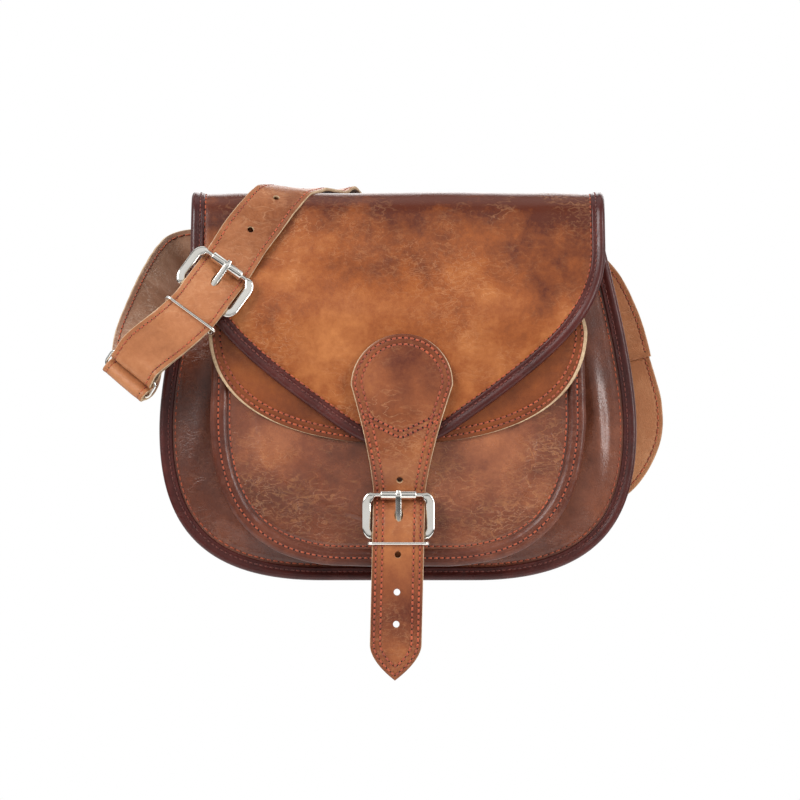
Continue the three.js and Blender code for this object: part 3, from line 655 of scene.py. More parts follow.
# Painted light: these colours are about twice as pale as the leather's own, to lift the tabs' inner
# faces out of the shade they sit in behind the bag.
TAB_INSIDE_PAINTED_LIGHT = waxed_leather("tab_inside", srgb(112, 76, 58), srgb(168, 124, 98),
                           srgb(206, 164, 138), srgb(240, 218, 198), mottle=22, gloss=0.4,
                           creases=0.6, grain=0.5)
SUEDE = flesh_side("flesh_side", srgb(120, 92, 74), srgb(170, 142, 118))
DARK_SUEDE = flesh_side("lining_flesh", srgb(86, 62, 48), srgb(128, 98, 78))
RAW = cut_edge("raw_edge", srgb(150, 112, 80), srgb(212, 184, 148))
DYED_EDGE = cut_edge("dyed_edge", srgb(58, 30, 24), srgb(92, 54, 42))
DARK_THREAD = waxed_thread("dark_thread", srgb(62, 20, 14), srgb(120, 46, 30))
THREAD = waxed_thread("thread", srgb(116, 44, 22), srgb(190, 86, 44))
HOLE = hollow("needle_hole")
NICKEL = nickel_plate("nickel")


# ---------------------------------------------------------------- outlines and profiles
def body_outline():
    """The right half of the body, from the lip down to the middle of the floor."""
    return path((121, 190), ((128, 160), (140, 115), (140, 81.5)),
                ((140, 22), (112, -6.5), (45, -6.5)), ((0, -6.5),))


def pocket_outline():
    return path((100, 136), ((101, 90),), ((101, 45), (85, 12), (30, 11)), ((0, 11),))


def all_round(right_half, distance=0.0, spacing=1.5):
    """The whole outline, down the left and up the right, moved inwards, with its normals."""
    left = right_half * [-1, 1]
    whole = resampled(np.vstack([left, right_half[::-1][1:]]), spacing)
    along = tangents(whole)
    inward = np.stack([-along[:, 1], along[:, 0]], 1)
    return whole + inward * distance, inward


def round_frames(outline, spacing, out_y):
    """The outline's points, and frames along it whose out direction is along y."""
    edge, inward = all_round(outline, spacing=spacing)
    zero = np.zeros(len(edge))
    centre = np.stack([edge[:, 0], zero, edge[:, 1]], 1)
    across = np.stack([inward[:, 0], zero, inward[:, 1]], 1)
    return edge, centre, across, np.tile(array(0, out_y, 0), (len(edge), 1))


def half_width_at(outline, heights, distance):
    """The inset outline's half width at each height."""
    along = tangents(outline)
    moved = outline + distance * np.stack([along[:, 1], -along[:, 0]], 1)
    order = np.argsort(moved[:, 1])
    return np.interp(heights, moved[order, 1], moved[order, 0])


def knots_round(outline, distance, pitch, y):
    """Where stitches go round an outline, at a distance inside it."""
    knots = resampled(all_round(outline, distance, 1.2)[0], pitch)
    return np.stack([knots[:, 0], np.full(len(knots), y), knots[:, 1]], 1)


def width_by_height(outline, heights):
    """A falling outline's half width at each height."""
    order = np.argsort(outline[:, 1], kind="stable")
    return np.interp(heights, outline[order, 1], outline[order, 0])


def upright_strip(heights, half_widths, y, facing, thickness, relief):
    """A flat panel: rows at the heights, facing the front (-1) or the back (+1)."""
    count = len(heights)
    centre = np.stack([np.zeros(count), np.full(count, y), heights], 1)
    across = np.tile(array(-facing, 0, 0), (count, 1))
    out = np.tile(array(0, facing, 0), (count, 1))
    return Strip(centre, across, out, half_widths, thickness, relief)


def profile_strip(profile, half_widths, thickness, relief):
    """A sheet bent along a side profile of (forward, height) points."""
    along = tangents(profile)
    zero = np.zeros(len(profile))
    centre = np.stack([zero, -profile[:, 0], profile[:, 1]], 1)
    out = np.stack([zero, along[:, 1], along[:, 0]], 1)
    return Strip(centre, np.tile(array(1.0, 0, 0), (len(profile), 1)), out, half_widths,
                 thickness, relief)


# ---------------------------------------------------------------- body
def seam_relief(puff, seed):
    """Leather that dips at its seam and swells inside it, with uneven ground."""
    def relief(a, u, d):
        inside = ramp(d, EDGE_LAP - 1, EDGE_LAP + 16)
        ground = lumps(a, u, 70, seed) * 0.8 * inside
        return puff * inside - 0.5 * hump(d - EDGE_LAP, 1.2) + ground
    return relief


PANEL_FOLDS = [  # (x, z) start, (x, z) end, height and width of the front panel's folds
    ((112, 128), (117, 62), 1.3, 3.6), ((121, 110), (124, 56), -1.0, 3.0),
    ((104, 116), (106, 66), -0.9, 3.2), ((-116, 108), (-122, 58), 0.8, 4.0),
]


def fold_height(x, z, folds):
    """How far folds lift the leather at points of an upright panel."""
    total = np.zeros(np.broadcast(x, z).shape)
    for (x0, z0), (x1, z1), height, width in folds:
        dx, dz = x1 - x0, z1 - z0
        length = math.hypot(dx, dz)
        t = ((x - x0) * dx + (z - z0) * dz) / length**2
        off = ((x - x0) * dz - (z - z0) * dx) / length + 2.5 * np.sin(t * 3.0)
        total = total + height * hump(off, width) * hump(t - 0.5, 0.42)
    return total


def with_folds(relief, top, folds):
    """The relief with folds added, away from the panel's edges."""
    def folded(a, u, d):
        return relief(a, u, d) + fold_height(a, top - u, folds) * ramp(d, 8, 14)
    return folded


def make_panels():
    """The front and back of the bag, with closer rows towards the bottom."""
    outline = body_outline()
    spread = np.linspace(1, 0, 110) ** 1.6
    for name, y, facing, top, seed in (("front_panel", -36.0, -1, 190.0, 3),
                                       ("back_panel", 36.0, 1, 196.0, 4)):
        heights = -5 + (top + 5) * spread
        widths = half_width_at(outline, heights, 1.5)
        relief = seam_relief(3.2 if facing < 0 else 0.8, seed)
        relief = with_folds(relief, top, PANEL_FOLDS if facing < 0 else [])
        panel = upright_strip(heights, widths, y, facing, LEATHER, relief)
        obj = panel.mesh(name + "_leather", [BODY, DYED_EDGE, DARK_SUEDE], columns=130)
        settle(obj, name, "bag")
        line = panel.inset(EDGE_LAP, 1.2)
        line = line[(line[:, 1] > 3)]
        sew(name + "_seam", panel, round_the_end(line), "bag", 3.8, 0.36)


def make_gusset():
    """The bag's side and floor in one strip, its edges turned out for the bindings."""
    edge, centre, across, out = round_frames(body_outline(), 2.0, 1.0)
    y = np.linspace(-32.5, 32.5, 27)
    sag = 1.4 * np.cos(y / 32.5 * math.pi / 2) ** 2
    outer = [(1.6, -34.6), (5.6, -34.4), (6.4, -33.8)]
    outer += list(zip(6.5 + sag, y))
    outer += [(6.4, 33.8), (5.6, 34.4), (1.6, 34.6)]
    inner = [(1.6, 33.0), (7.6, 32.6)] + list(zip(8.3 + sag[::-1], y[::-1]))
    inner += [(7.6, -32.6), (1.6, -33.0)]
    section = array(*outer, *inner)
    rows = centre[:, None] + across[:, None] * section[:, :1] + out[:, None] * section[:, 1:]
    ground = lumps(np.arange(len(edge))[:, None] * 2.0, section[:, 1][None], 40, 8) * 0.5
    inside = (np.abs(section[:, 1]) < 30)[None, :, None]
    rows += across[:, None] * ground[..., None] * inside
    bands = np.array([0] * len(outer) + [1] * len(inner))
    obj = skin("gusset_leather", rows, [BODY, DARK_SUEDE], bands)
    settle(obj, "gusset", "bag")


def binding_shape(front, back, lap, back_lap):
    """A strip folded over an edge: a full round nose, a flat leg in front and one behind."""
    return smooth_section([
        (lap, front + 0.4), (lap - 0.5, front - 0.55), (lap - 2.6, front - 0.35),
        (lap - 3.6, front - 0.65), (2.2, front - 1.15), (0.5, front - 0.6), (-0.35, front + 1.0),
        (-0.4, (front + back) / 2), (-0.35, back - 1.0), (0.5, back + 0.7),
        (2.2, back + 0.9), (back_lap - 0.6, back + 0.7), (back_lap, back - 0.2),
        (2.0, back - 0.5), (1.4, (front + back) / 2), (2.0, front + 0.5),
    ], 3)


def make_body_bindings():
    for name, facing in (("front_binding", -1), ("back_binding", 1)):
        edge, centre, across, out = round_frames(body_outline(), 1.2, -facing)
        section = binding_shape(-37.2, -32.6, EDGE_LAP, 6.0)
        section = np.repeat(section[None], len(edge), 0)
        pinch = lumps(lengths_along(edge), 0 * edge[:, 0], 14, 21, 2) * 0.14
        section[..., 1] += np.where(section[..., 1] < -37, pinch[:, None], 0)
        obj = sweep(name + "_leather", centre, across, out, section, [BINDING])
        settle(obj, name, "bag")
        points = knots_round(body_outline(), 4.9, 3.1, facing * 37.75)
        facing_out = np.tile(array(0, facing, 0), (len(points) - 1, 1))
        sewn = thread_row(name + "_thread", points, facing_out, 0.4, 0.36, DARK_THREAD)
        dress([sewn], "bag")


# ---------------------------------------------------------------- pocket
POCKET_CREASES = [  # start, end, height and width of the folds in the pocket's leather
    ((-63, 60), (-57, 40), 0.7, 2.6), ((-70, 52), (-48, 34), -0.6, 2.2),
    ((-52, 44), (-14, 24), 0.5, 2.4), ((-40, 30), (-8, 22), -0.5, 2.0),
    ((72, 88), (78, 58), 0.9, 3.5), ((62, 96), (66, 66), -0.7, 4.0),
    ((80, 72), (70, 38), 0.6, 2.6), ((-84, 92), (-80, 62), 0.6, 3.0),
]


def make_pocket():
    outline = pocket_outline()
    top, bottom = 136.0, 11.6
    heights = bottom + (top - bottom) * np.linspace(1, 0, 120) ** 1.35
    widths = half_width_at(outline, heights, 0.6)

    def relief(a, u, d):
        inside = ramp(d, 1.5, 22)
        ground = lumps(a, u, 60, 31) * 0.9 + fold_height(a, top - u, POCKET_CREASES)
        return -0.7 + 1.3 * inside + ground * inside - 0.6 * hump(d - POCKET_SEAM, 1.3)

    panel = upright_strip(heights, widths, -POCKET_FRONT + LEATHER / 2, -1, LEATHER, relief)
    obj = panel.mesh("pocket_panel_leather", [POCKET, DYED_EDGE, DARK_SUEDE], columns=150)
    settle(obj, "pocket_panel", "bag")
    line = panel.inset(POCKET_SEAM, 1.2)
    sew("pocket_seam", panel, round_the_end(line), "bag", 3.6, 0.42)
    make_pocket_rim(outline)


def make_pocket_rim(outline):
    """The pocket's side, rolled outwards at the front into a padded rim."""
    edge, centre, across, out = round_frames(outline, 1.2, -1.0)
    section = smooth_section([
        (0.9, 56.9), (0.3, 57.6), (-1.6, 58.8), (-3.6, 58.7), (-4.6, 58.3), (-5.8, 58.6),
        (-7.6, 58.2), (-9.0, 56.8), (-9.1, 55.2), (-7.8, 53.8), (-5.2, 52.4), (-2.6, 48.0),
        (-0.6, 42.0), (0.6, 37.0), (2.6, 37.0), (1.6, 43.0), (-0.4, 49.0), (-2.2, 52.6),
        (0.4, 54.6),
    ], 3)
    section = np.repeat(section[None], len(edge), 0)
    along = lengths_along(edge)
    waist = lumps(along[:, None], section[..., 1], 26, 5, 2) * 0.45
    section[..., 0] += waist
    pucker = lumps(along[:, None], section[..., 0] * 0.5, 9, 6, 2) * 0.22
    section[..., 1] += np.where(section[..., 1] > 56, pucker, 0)
    obj = sweep("pocket_rim_leather", centre, across, out, section, [RIM])
    settle(obj, "pocket_gusset", "bag")
    points = knots_round(outline, -4.4, STITCH_PITCH, -58.5)
    facing = np.tile(array(0, -1.0, 0), (len(points), 1))
    sewn = thread_row("pocket_rim_thread", points, facing[1:], 0.4, 0.42, THREAD)
    dots = needle_holes("pocket_rim_holes", points, facing, tangents(points), 0.5, HOLE)
    dress([sewn, dots], "bag")


def make_pocket_flap():
    lap = path((39.4, 166), ((39.4, 158),), ((50, 157), (POCKET_FLAP_FRONT, 154),
               (POCKET_FLAP_FRONT, 140)), ((POCKET_FLAP_FRONT, 73.5),))
    profile = resampled(lap, 1.2)
    falling = path((111, 138), ((110, 105), (84, 80), (20, 74)), ((0, 73.3),))
    widths = width_by_height(falling, profile[:, 1])
    rise = ramp(profile[:, 1], 138, 160)
    widths = np.where(profile[:, 1] > 138, 111 - 5 * rise, widths)

    def relief(a, u, d):
        low = ramp(u, 30, 60)
        return (lumps(a, u, 80, 12) * 0.6 * ramp(d, 0, 20)
                - 0.22 * sum(hump(d - row, 0.9) for row in POCKET_FLAP_ROWS) * low)

    strip = profile_strip(profile, widths, LEATHER, relief)
    obj = strip.mesh("pocket_flap_leather", [POCKET_FLAP, RAW, SUEDE], columns=150)
    settle(obj, "pocket_flap", AT_POCKET_FLAP)
    for row, inset in enumerate(POCKET_FLAP_ROWS):
        line = strip.inset(inset)
        line = line[line[:, 1] > 14]
        sew(f"pocket_flap_row_{row}", strip, round_the_end(line), AT_POCKET_FLAP,
            3.5, 0.5)


# ---------------------------------------------------------------- flap
def flap_swell(a, u, d):
    """How the flap's leather bellies out: up to 1.5 mm, less at its edges."""
    ground = lumps(a, u, 95, 41, 3)
    return (1.0 + ground) * ramp(d, 4, 40) - 0.45 * hump(d - EDGE_LAP, 1.2)


def flap_profile():
    """From the lap behind, over the crown and down the front: forward and height."""
    side = path((38.15, 186), ((38.15, 195),), ((38.15, 199), (FOLD_Y, 201), (FOLD_Y, 205)),
                ((FOLD_Y, CROWN - 4), (32, CROWN), (20, CROWN))) * [-1, 1]
    front = path((-20, CROWN), ((27, CROWN),), ((40, CROWN), (44, 212), (46, 200)),
                 ((52, 172), (FLAP_FRONT, 160), (FLAP_FRONT, 138)),
                 ((FLAP_FRONT, FLAP_TIP),))
    return resampled(np.vstack([side, front[1:]]), 1.3)


def make_flap():
    profile = flap_profile()
    falling = path((121.5, 187), ((121, 148), (92, 124), (34, 83)), ((16, 70.5), (0, 70.5)))
    widths = width_by_height(falling, profile[:, 1])
    past_crown = (profile[:, 0] > 0) & (profile[:, 1] < 187)
    spread = lengths_along(profile)
    spread = np.clip(spread / spread[np.argmax(past_crown)], 0, 1)
    widths = np.where(past_crown, widths, 119.3 + 2.2 * spread)
    strip = profile_strip(profile, np.maximum(widths, 0.2), LEATHER, flap_swell)
    obj = strip.mesh("flap_leather", [FLAP, DYED_EDGE, SUEDE], columns=170)
    settle(obj, "flap", AT_FOLD)
    above_lap = 17.0
    line = strip.inset(EDGE_LAP + 0.4)
    sew("flap_seam", strip, round_the_end(line[line[:, 1] > above_lap]), AT_FOLD,
        3.6, 0.42)
    across_back = np.stack([np.linspace(-112, 112, 200), np.full(200, 4.0)], 1)
    sew("flap_back_row", strip, [across_back], AT_FOLD)
    make_flap_binding(strip, above_lap)


def make_flap_binding(strip, start):
    """The binding runs down one side of the flap, round its tip and up the other."""
    edge = resampled(strip.right_edge[strip.right_edge[:, 1] > start], 1.2)
    edge = np.vstack([edge, [[0.0, edge[-1, 1]]]])
    edge = resampled(edge, 1.2)
    whole = np.vstack([edge, edge[::-1][1:] * [-1, 1]])
    for _ in range(12):
        whole[1:-1] = (whole[:-2] + 2 * whole[1:-1] + whole[2:]) / 4
    flat_along = tangents(whole)
    flat_in = np.stack([-flat_along[:, 1], flat_along[:, 0]], 1)
    centre, across, out = strip.frame_at(whole[:, 1])
    down = np.cross(across, out) * -1
    down = down * np.sign(np.sum(down * tangents(strip.centre)[
        np.searchsorted(strip.u, whole[:, 1]).clip(0, len(strip.u) - 1)], -1, keepdims=True))
    inward = unit(across * flat_in[:, :1] + down * flat_in[:, 1:])
    centre = centre + across * whole[:, :1]
    section = binding_shape(-1.2, 1.2, EDGE_LAP, EDGE_LAP - 0.5)
    obj = sweep("flap_binding_leather", centre, inward, -out, section, [BINDING])
    settle(obj, "flap_binding", AT_FOLD)
    rowed = centre + inward * 4.9 + out * 1.72
    knots = resampled(rowed, 3.1)
    pick = np.linspace(0, len(out) - 1, len(knots)).round().astype(int)
    sewn = thread_row("flap_binding_thread", knots, out[pick][:-1], 0.4, 0.36, DARK_THREAD)
    dress([sewn], AT_FOLD)


# ---------------------------------------------------------------- holes through leather
def cutter(centre, across, along, axis, half_across, half_along, length, corners=24):
    """An oval bar to cut a hole with. More rounded than a box, less than a cylinder."""
    angle = np.linspace(0, 2 * math.pi, corners, endpoint=False)
    section = np.stack([np.cos(angle) * half_across, np.sin(angle) * half_along], 1)
    ends = np.stack([centre - axis * length / 2, centre + axis * length / 2])
    two = np.ones((2, 1))
    return sweep("cutter", ends, two * across, two * along, section, [RAW])


def hole_in(strip, u, half_across, half_along, length):
    """A cutter square to the strip at a distance along it."""
    point, side, normal = (v[0] for v in strip.frame_at(np.array([u])))
    return cutter(point, side, np.cross(normal, side), normal, half_across, half_along, length)


def punch(obj, cutters):
    """The object with the cutters taken out of it for good."""
    for tool in cutters:
        boolean = obj.modifiers.new("hole", "BOOLEAN")
        boolean.operation = "DIFFERENCE"
        boolean.solver = "EXACT"
        boolean.material_mode = "TRANSFER"
        boolean.object = tool
    depsgraph = bpy.context.evaluated_depsgraph_get()
    mesh = bpy.data.meshes.new_from_object(obj.evaluated_get(depsgraph),
                                           preserve_all_data_layers=True, depsgraph=depsgraph)
    obj.modifiers.clear()
    obj.data = mesh
    for tool in cutters:
        bpy.data.objects.remove(tool)


# ---------------------------------------------------------------- closure
CLOSURE_ROUTE = array(  # y and z along the middle of the strap
    (-67.7, 137.9), (-67.9, 120), (-69.3, 100), (-69.5, 85), (-69.4, 72), (-66.2, 60),
    (-60.9, 50), (-60.15, 43.7), (-62.2, 38.5), (-67.2, 32.5), (-70, 26), (-70.8, 19.2),
    (-70.8, 12), (-69.6, -5), (-68.6, -30), (-67.8, TAIL_TIP))
CLOSURE_HOLES = (53, 8.8, -13.2, -32)  # heights of the round ones
CLOSURE_LEAN = 0.0237  # the strap's sideways drift for each millimetre down


def closure_half_width(z):
    """A round head, a taper down to a waist, straight sides and a pointed tail."""
    waist = 45.0
    head = np.sqrt(np.clip(HEAD_RADIUS**2 - (z - HEAD_HEIGHT) ** 2, 0.04, None))
    share = np.clip((z - waist) / (HEAD_HEIGHT - waist), 0, 1)
    taper = CLOSURE_HALF_WIDTH + (HEAD_RADIUS - CLOSURE_HALF_WIDTH) * share**1.35
    shoulder = TAIL_TIP + 21
    point = np.clip((shoulder - z) / (shoulder - TAIL_TIP), 0, 1)
    tail = CLOSURE_HALF_WIDTH * np.clip(1 - point**1.8, 0.01, None)
    return np.where(z > HEAD_HEIGHT, head, np.where(z > waist, taper, tail))


def make_closure_strap():
    """From the head sewn on the flap down to the tail, with closer rows near both ends."""
    route = resampled(spline(CLOSURE_ROUTE, 30), 0.1)
    total = lengths_along(route)[-1]
    share = np.linspace(0, 1, 300)
    share = share - np.sin(2 * math.pi * share) / (2 * math.pi) * 0.93
    at = share * total
    along_route = lengths_along(route)
    y, z = (np.interp(at, along_route, route[:, k]) for k in (0, 1))
    x = 2.3 - (HEAD_HEIGHT - z) * CLOSURE_LEAN
    centre = np.stack([x, y, z], 1)
    across = np.tile(array(1.0, 0, 0), (len(z), 1))
    out = np.cross(tangents(centre), across)

    def relief(a, u, d):
        height = np.interp(u, lengths_along(centre), z)
        on_head = ramp(height, 84, 96)
        rows = sum(hump(d - row, 0.8) for row in CLOSURE_ROWS)
        return (-0.28 * rows + 0.7 * on_head * ramp(d, 7, 18)
                + 0.22 * lumps(a, u, 26, 51, 2) * ramp(d, 0, 8))

    strip = Strip(centre, across, out, closure_half_width(z), CLOSURE_THICKNESS, relief)
    obj = strip.mesh("closure_strap_leather", [CLOSURE, RAW, SUEDE], columns=70)

    def hole(height, half_across, half_along):
        return hole_in(strip, np.interp(-height, -z, strip.u), half_across, half_along, 9)

    holes = [hole(height, PUNCHED_HOLE, 2.0) for height in CLOSURE_HOLES]
    punch(obj, holes + [hole(31.5, *PRONG_HOLE)])
    settle(obj, "closure_strap", "flap")
    for row, inset in enumerate(CLOSURE_ROWS):
        sew(f"closure_row_{row}", strip, round_the_end(strip.inset(inset, 0.6)), "flap",
            3.4, 0.6)
    for row, drop in enumerate((0.0, 3.6)):
        vee = path((-25.5, 93 - drop), ((-8, 84 - drop), (0, 80.5 - drop)),
                   ((8, 84 - drop), (25.5, 93 - drop)))
        inside = np.abs(vee[:, 0]) < closure_half_width(vee[:, 1]) - CLOSURE_ROWS[0]
        line = np.stack([vee[inside, 0], np.interp(-vee[inside, 1], -z, strip.u)], 1)
        sew(f"closure_vee_{row}", strip, [line], "flap", 3.2, 0.6)


# ---------------------------------------------------------------- buckles
class Buckle:
    """A buckle's own directions: u across the strap, v along it, w out of it."""

    pivot, roller = -11.5, 13.0

    def __init__(self, name, origin, u, v):
        self.name, self.origin = name, array(*origin)
        self.u, self.v = unit(u), unit(v)
        self.w = np.cross(self.u, self.v)

    def point(self, a, b, c):
        a, b, c = (np.asarray(x, float)[..., None] for x in (a, b, c))
        return self.origin + self.u * a + self.v * b + self.w * c

    def direction(self, a, b, c):
        return unit(self.point(a, b, c) - self.origin)


SLOPE, TILT = math.radians(36), math.radians(16)
CLOSURE_BUCKLE = Buckle("closure", (0.3, -64.9, 30.7), (1, 0, 0), (0, 0, 1))
SHOULDER_BUCKLE = Buckle(
    "shoulder", (-107.5, -67.9, 167.7), (math.cos(SLOPE), 0, -math.sin(SLOPE)),
    (math.sin(SLOPE) * math.cos(TILT), math.sin(TILT), math.cos(SLOPE) * math.cos(TILT)))


def rounded_rectangle(half_across, low, high, corner, steps=14):
    """Points and outward directions round a rectangle, anticlockwise."""
    points, turned = [], []
    for x, y, first in ((half_across - corner, high - corner, 0),
                        (corner - half_across, high - corner, 90),
                        (corner - half_across, low + corner, 180),
                        (half_across - corner, low + corner, 270)):
        for degrees in np.linspace(first, first + 90, steps):
            angle = math.radians(degrees)
            outward = (math.cos(angle), math.sin(angle))
            points.append((x + corner * outward[0], y + corner * outward[1]))
            turned.append(outward)
    return array(*points), array(*turned)


def bar_section(squareness, sides=24):
    """A unit section between a circle (2) and a square (higher)."""
    angle = np.linspace(0, 2 * math.pi, sides, endpoint=False)
    power = 2 / squareness
    c, s = np.cos(angle), np.sin(angle)
    return np.stack([np.sign(c) * np.abs(c) ** power, np.sign(s) * np.abs(s) ** power], 1)


def metal(obj, node, body):
    """A nickel piece on a body. It stands for a CAD node if one is given."""
    if node:
        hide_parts(node)
    dress([obj], body)


def make_buckle(buckle):
    """A rounded rectangle, flat down its sides and round where it carries roller and prong."""
    name = buckle.name
    points, turned = rounded_rectangle(18.65, buckle.pivot, buckle.roller, 5.6)
    arm = ramp(np.abs(points[:, 0]), 13.6, 16.6)[:, None, None]
    flat, round_ = bar_section(4.2), bar_section(2.0)
    section = (flat * [2.65, 1.75]) * arm + (round_ * 1.4) * (1 - arm)
    centre = buckle.point(points[:, 0], points[:, 1], np.zeros(len(points)))
    outward = buckle.direction(turned[:, 0], turned[:, 1], np.zeros(len(points)))
    out = np.tile(buckle.w, (len(points), 1))
    metal(sweep(name + "_frame_bar", centre, outward, out, section, [NICKEL], loop=True),
          name + "_buckle_frame", name + "_frame")
    make_roller(buckle)
    make_prong(buckle)


def make_roller(buckle):
    ends = array(-10.5, -10.3, -9.9, 9.9, 10.3, 10.5)
    radii = array(2.3, 2.75, 2.9, 2.9, 2.75, 2.3)
    centre = buckle.point(ends, np.full(6, buckle.roller), np.zeros(6))
    circle = bar_section(2.0, 40)
    circle[27:29] *= 0.93  # the tube's rolled seam
    section = circle[None] * radii[:, None, None]
    roller = sweep(buckle.name + "_roller_tube", centre, np.tile(buckle.v, (6, 1)),
                   np.tile(buckle.w, (6, 1)), section, [NICKEL])
    metal(roller, buckle.name + "_roller", buckle.name + "_roller")


def make_prong(buckle):
    """A flat arm that lies on the roller, on an eye bent round the pivot bar."""
    route = spline([(-12.2, 2.6), (-9, 2.75), (0, 3.2), (9, 3.85), (13, 4.15), (15.6, 3.9)], 8)
    count = len(route)
    zero = np.zeros(count)
    centre = buckle.point(zero, route[:, 0], route[:, 1])
    slope = tangents(route)
    out = buckle.direction(zero, -slope[:, 1], slope[:, 0])
    taper = 1 - 0.35 * ramp(route[:, 0], 12.5, 15.7)
    section = bar_section(3.4)[None] * np.stack([1.75 * taper, 0.8 * taper], 1)[:, None]
    arm = sweep(buckle.name + "_prong_arm", centre, np.tile(buckle.u, (count, 1)), out,
                section, [NICKEL])
    metal(arm, buckle.name + "_prong", buckle.name + "_prong")
    angle = np.linspace(0, 2 * math.pi, 32, endpoint=False)
    ring_v, ring_w = 2.65 * np.cos(angle), 2.65 * np.sin(angle)
    zero = np.zeros(32)
    centre = buckle.point(zero, buckle.pivot + ring_v, ring_w)
    out = buckle.direction(zero, ring_v, ring_w)
    eye = sweep(buckle.name + "_prong_eye", centre, np.tile(buckle.u, (32, 1)), out,
                bar_section(3.0) * [1.7, 0.7], [NICKEL], loop=True)
    metal(eye, None, buckle.name + "_prong")


def make_wire(name, node, body, origin, across, away, half_across, low, high):
    """A rectangle of wire, half_across to each side and from low to high along away."""
    points, turned = rounded_rectangle(half_across, low, high, 2.6, 8)
    centre = origin + across * points[:, :1] + away * points[:, 1:]
    outward = across * turned[:, :1] + away * turned[:, 1:]
    normal = np.tile(np.cross(away, across), (len(points), 1))
    wire = sweep(name, centre, outward, normal, bar_section(2.0, 16) * WIRE_RADIUS, [NICKEL],
                 loop=True)
    metal(wire, node, body)


def make_keeper(buckle, v, half_across, low, high):
    keeper = buckle.name + "_keeper"
    make_wire(keeper + "_wire", keeper, keeper, buckle.point(0, v, 0), buckle.u, buckle.w,
              half_across, low, high)


# ---------------------------------------------------------------- straps
def strap_frames(stops, spacing=1.1):
    """Frames of a flat strap from stops of (middle point, direction of its width)."""
    middle = spline([stop[0] for stop in stops], 16)
    widths = spline([stop[1] for stop in stops], 16)
    both = np.hstack([middle, widths])
    at = lengths_along(middle)
    even = np.linspace(0, at[-1], int(at[-1] / spacing) + 1)
    both = np.stack([np.interp(even, at, both[:, k]) for k in range(6)], 1)
    centre, across = both[:, :3], both[:, 3:]
    along = tangents(centre)
    across = unit(across - along * np.sum(across * along, 1, keepdims=True))
    return centre, across, np.cross(along, across)


def half_turn(centre, away, side, radius, across):
    """Stops round a bar, bulging away from where the strap comes from."""
    stops = []
    for degrees in (-90, -45, 0, 45, 90):
        angle = math.radians(degrees)
        at = centre + away * radius * math.cos(angle) + side * radius * math.sin(angle)
        stops.append((at, across))
    return stops


SEAM_INSET = 3.0  # from a strap's edge to its row of stitches


def strap_relief(seed):
    def relief(a, u, d):
        ground = lumps(a, u, 45, seed, 3) * 0.3 * ramp(d, 1, 8)
        return ground - 0.24 * hump(d - SEAM_INSET, 0.9)
    return relief


def make_strap(name, node, stops, where, faces, seed, half_width=STRAP_WIDTH / 2,
               thickness=STRAP_THICKNESS, both=False, holes=None):
    """A strap with a row of stitches down each side, on its outer face or on both faces."""
    strip = Strip(*strap_frames(stops), half_width, thickness, strap_relief(seed))
    obj = strip.mesh(name, faces, columns=34)
    if holes:
        punch(obj, holes(strip))
    settle(obj, node, where)
    margin = 2.5
    u = np.arange(margin, strip.length() - margin, 1.0)
    line = np.stack([np.full(len(u), half_width - SEAM_INSET), u], 1)
    sew(name + "_row_0", strip, both_sides(line), where, 3.3, 0.38)
    if both:
        sew(name + "_inner_row_0", strip, both_sides(line), where, 3.3, 0.38,
            inside=True)


RING_NEAR = array(-154, -63, 118.5)
RING_ACROSS = unit(array(0.75, -0.22, -0.62))
RING_DEPTH = 10.4
RING_TURN = 2.1 + STRAP_THICKNESS / 2


def square_to_ring(direction):
    """The direction with what points along the ring's bars taken out."""
    direction = array(*direction)
    return unit(direction - RING_ACROSS * np.dot(direction, RING_ACROSS))


RING_AWAY = square_to_ring((-0.62, 0.45, -0.62))
RING_FAR = RING_NEAR + RING_AWAY * RING_DEPTH


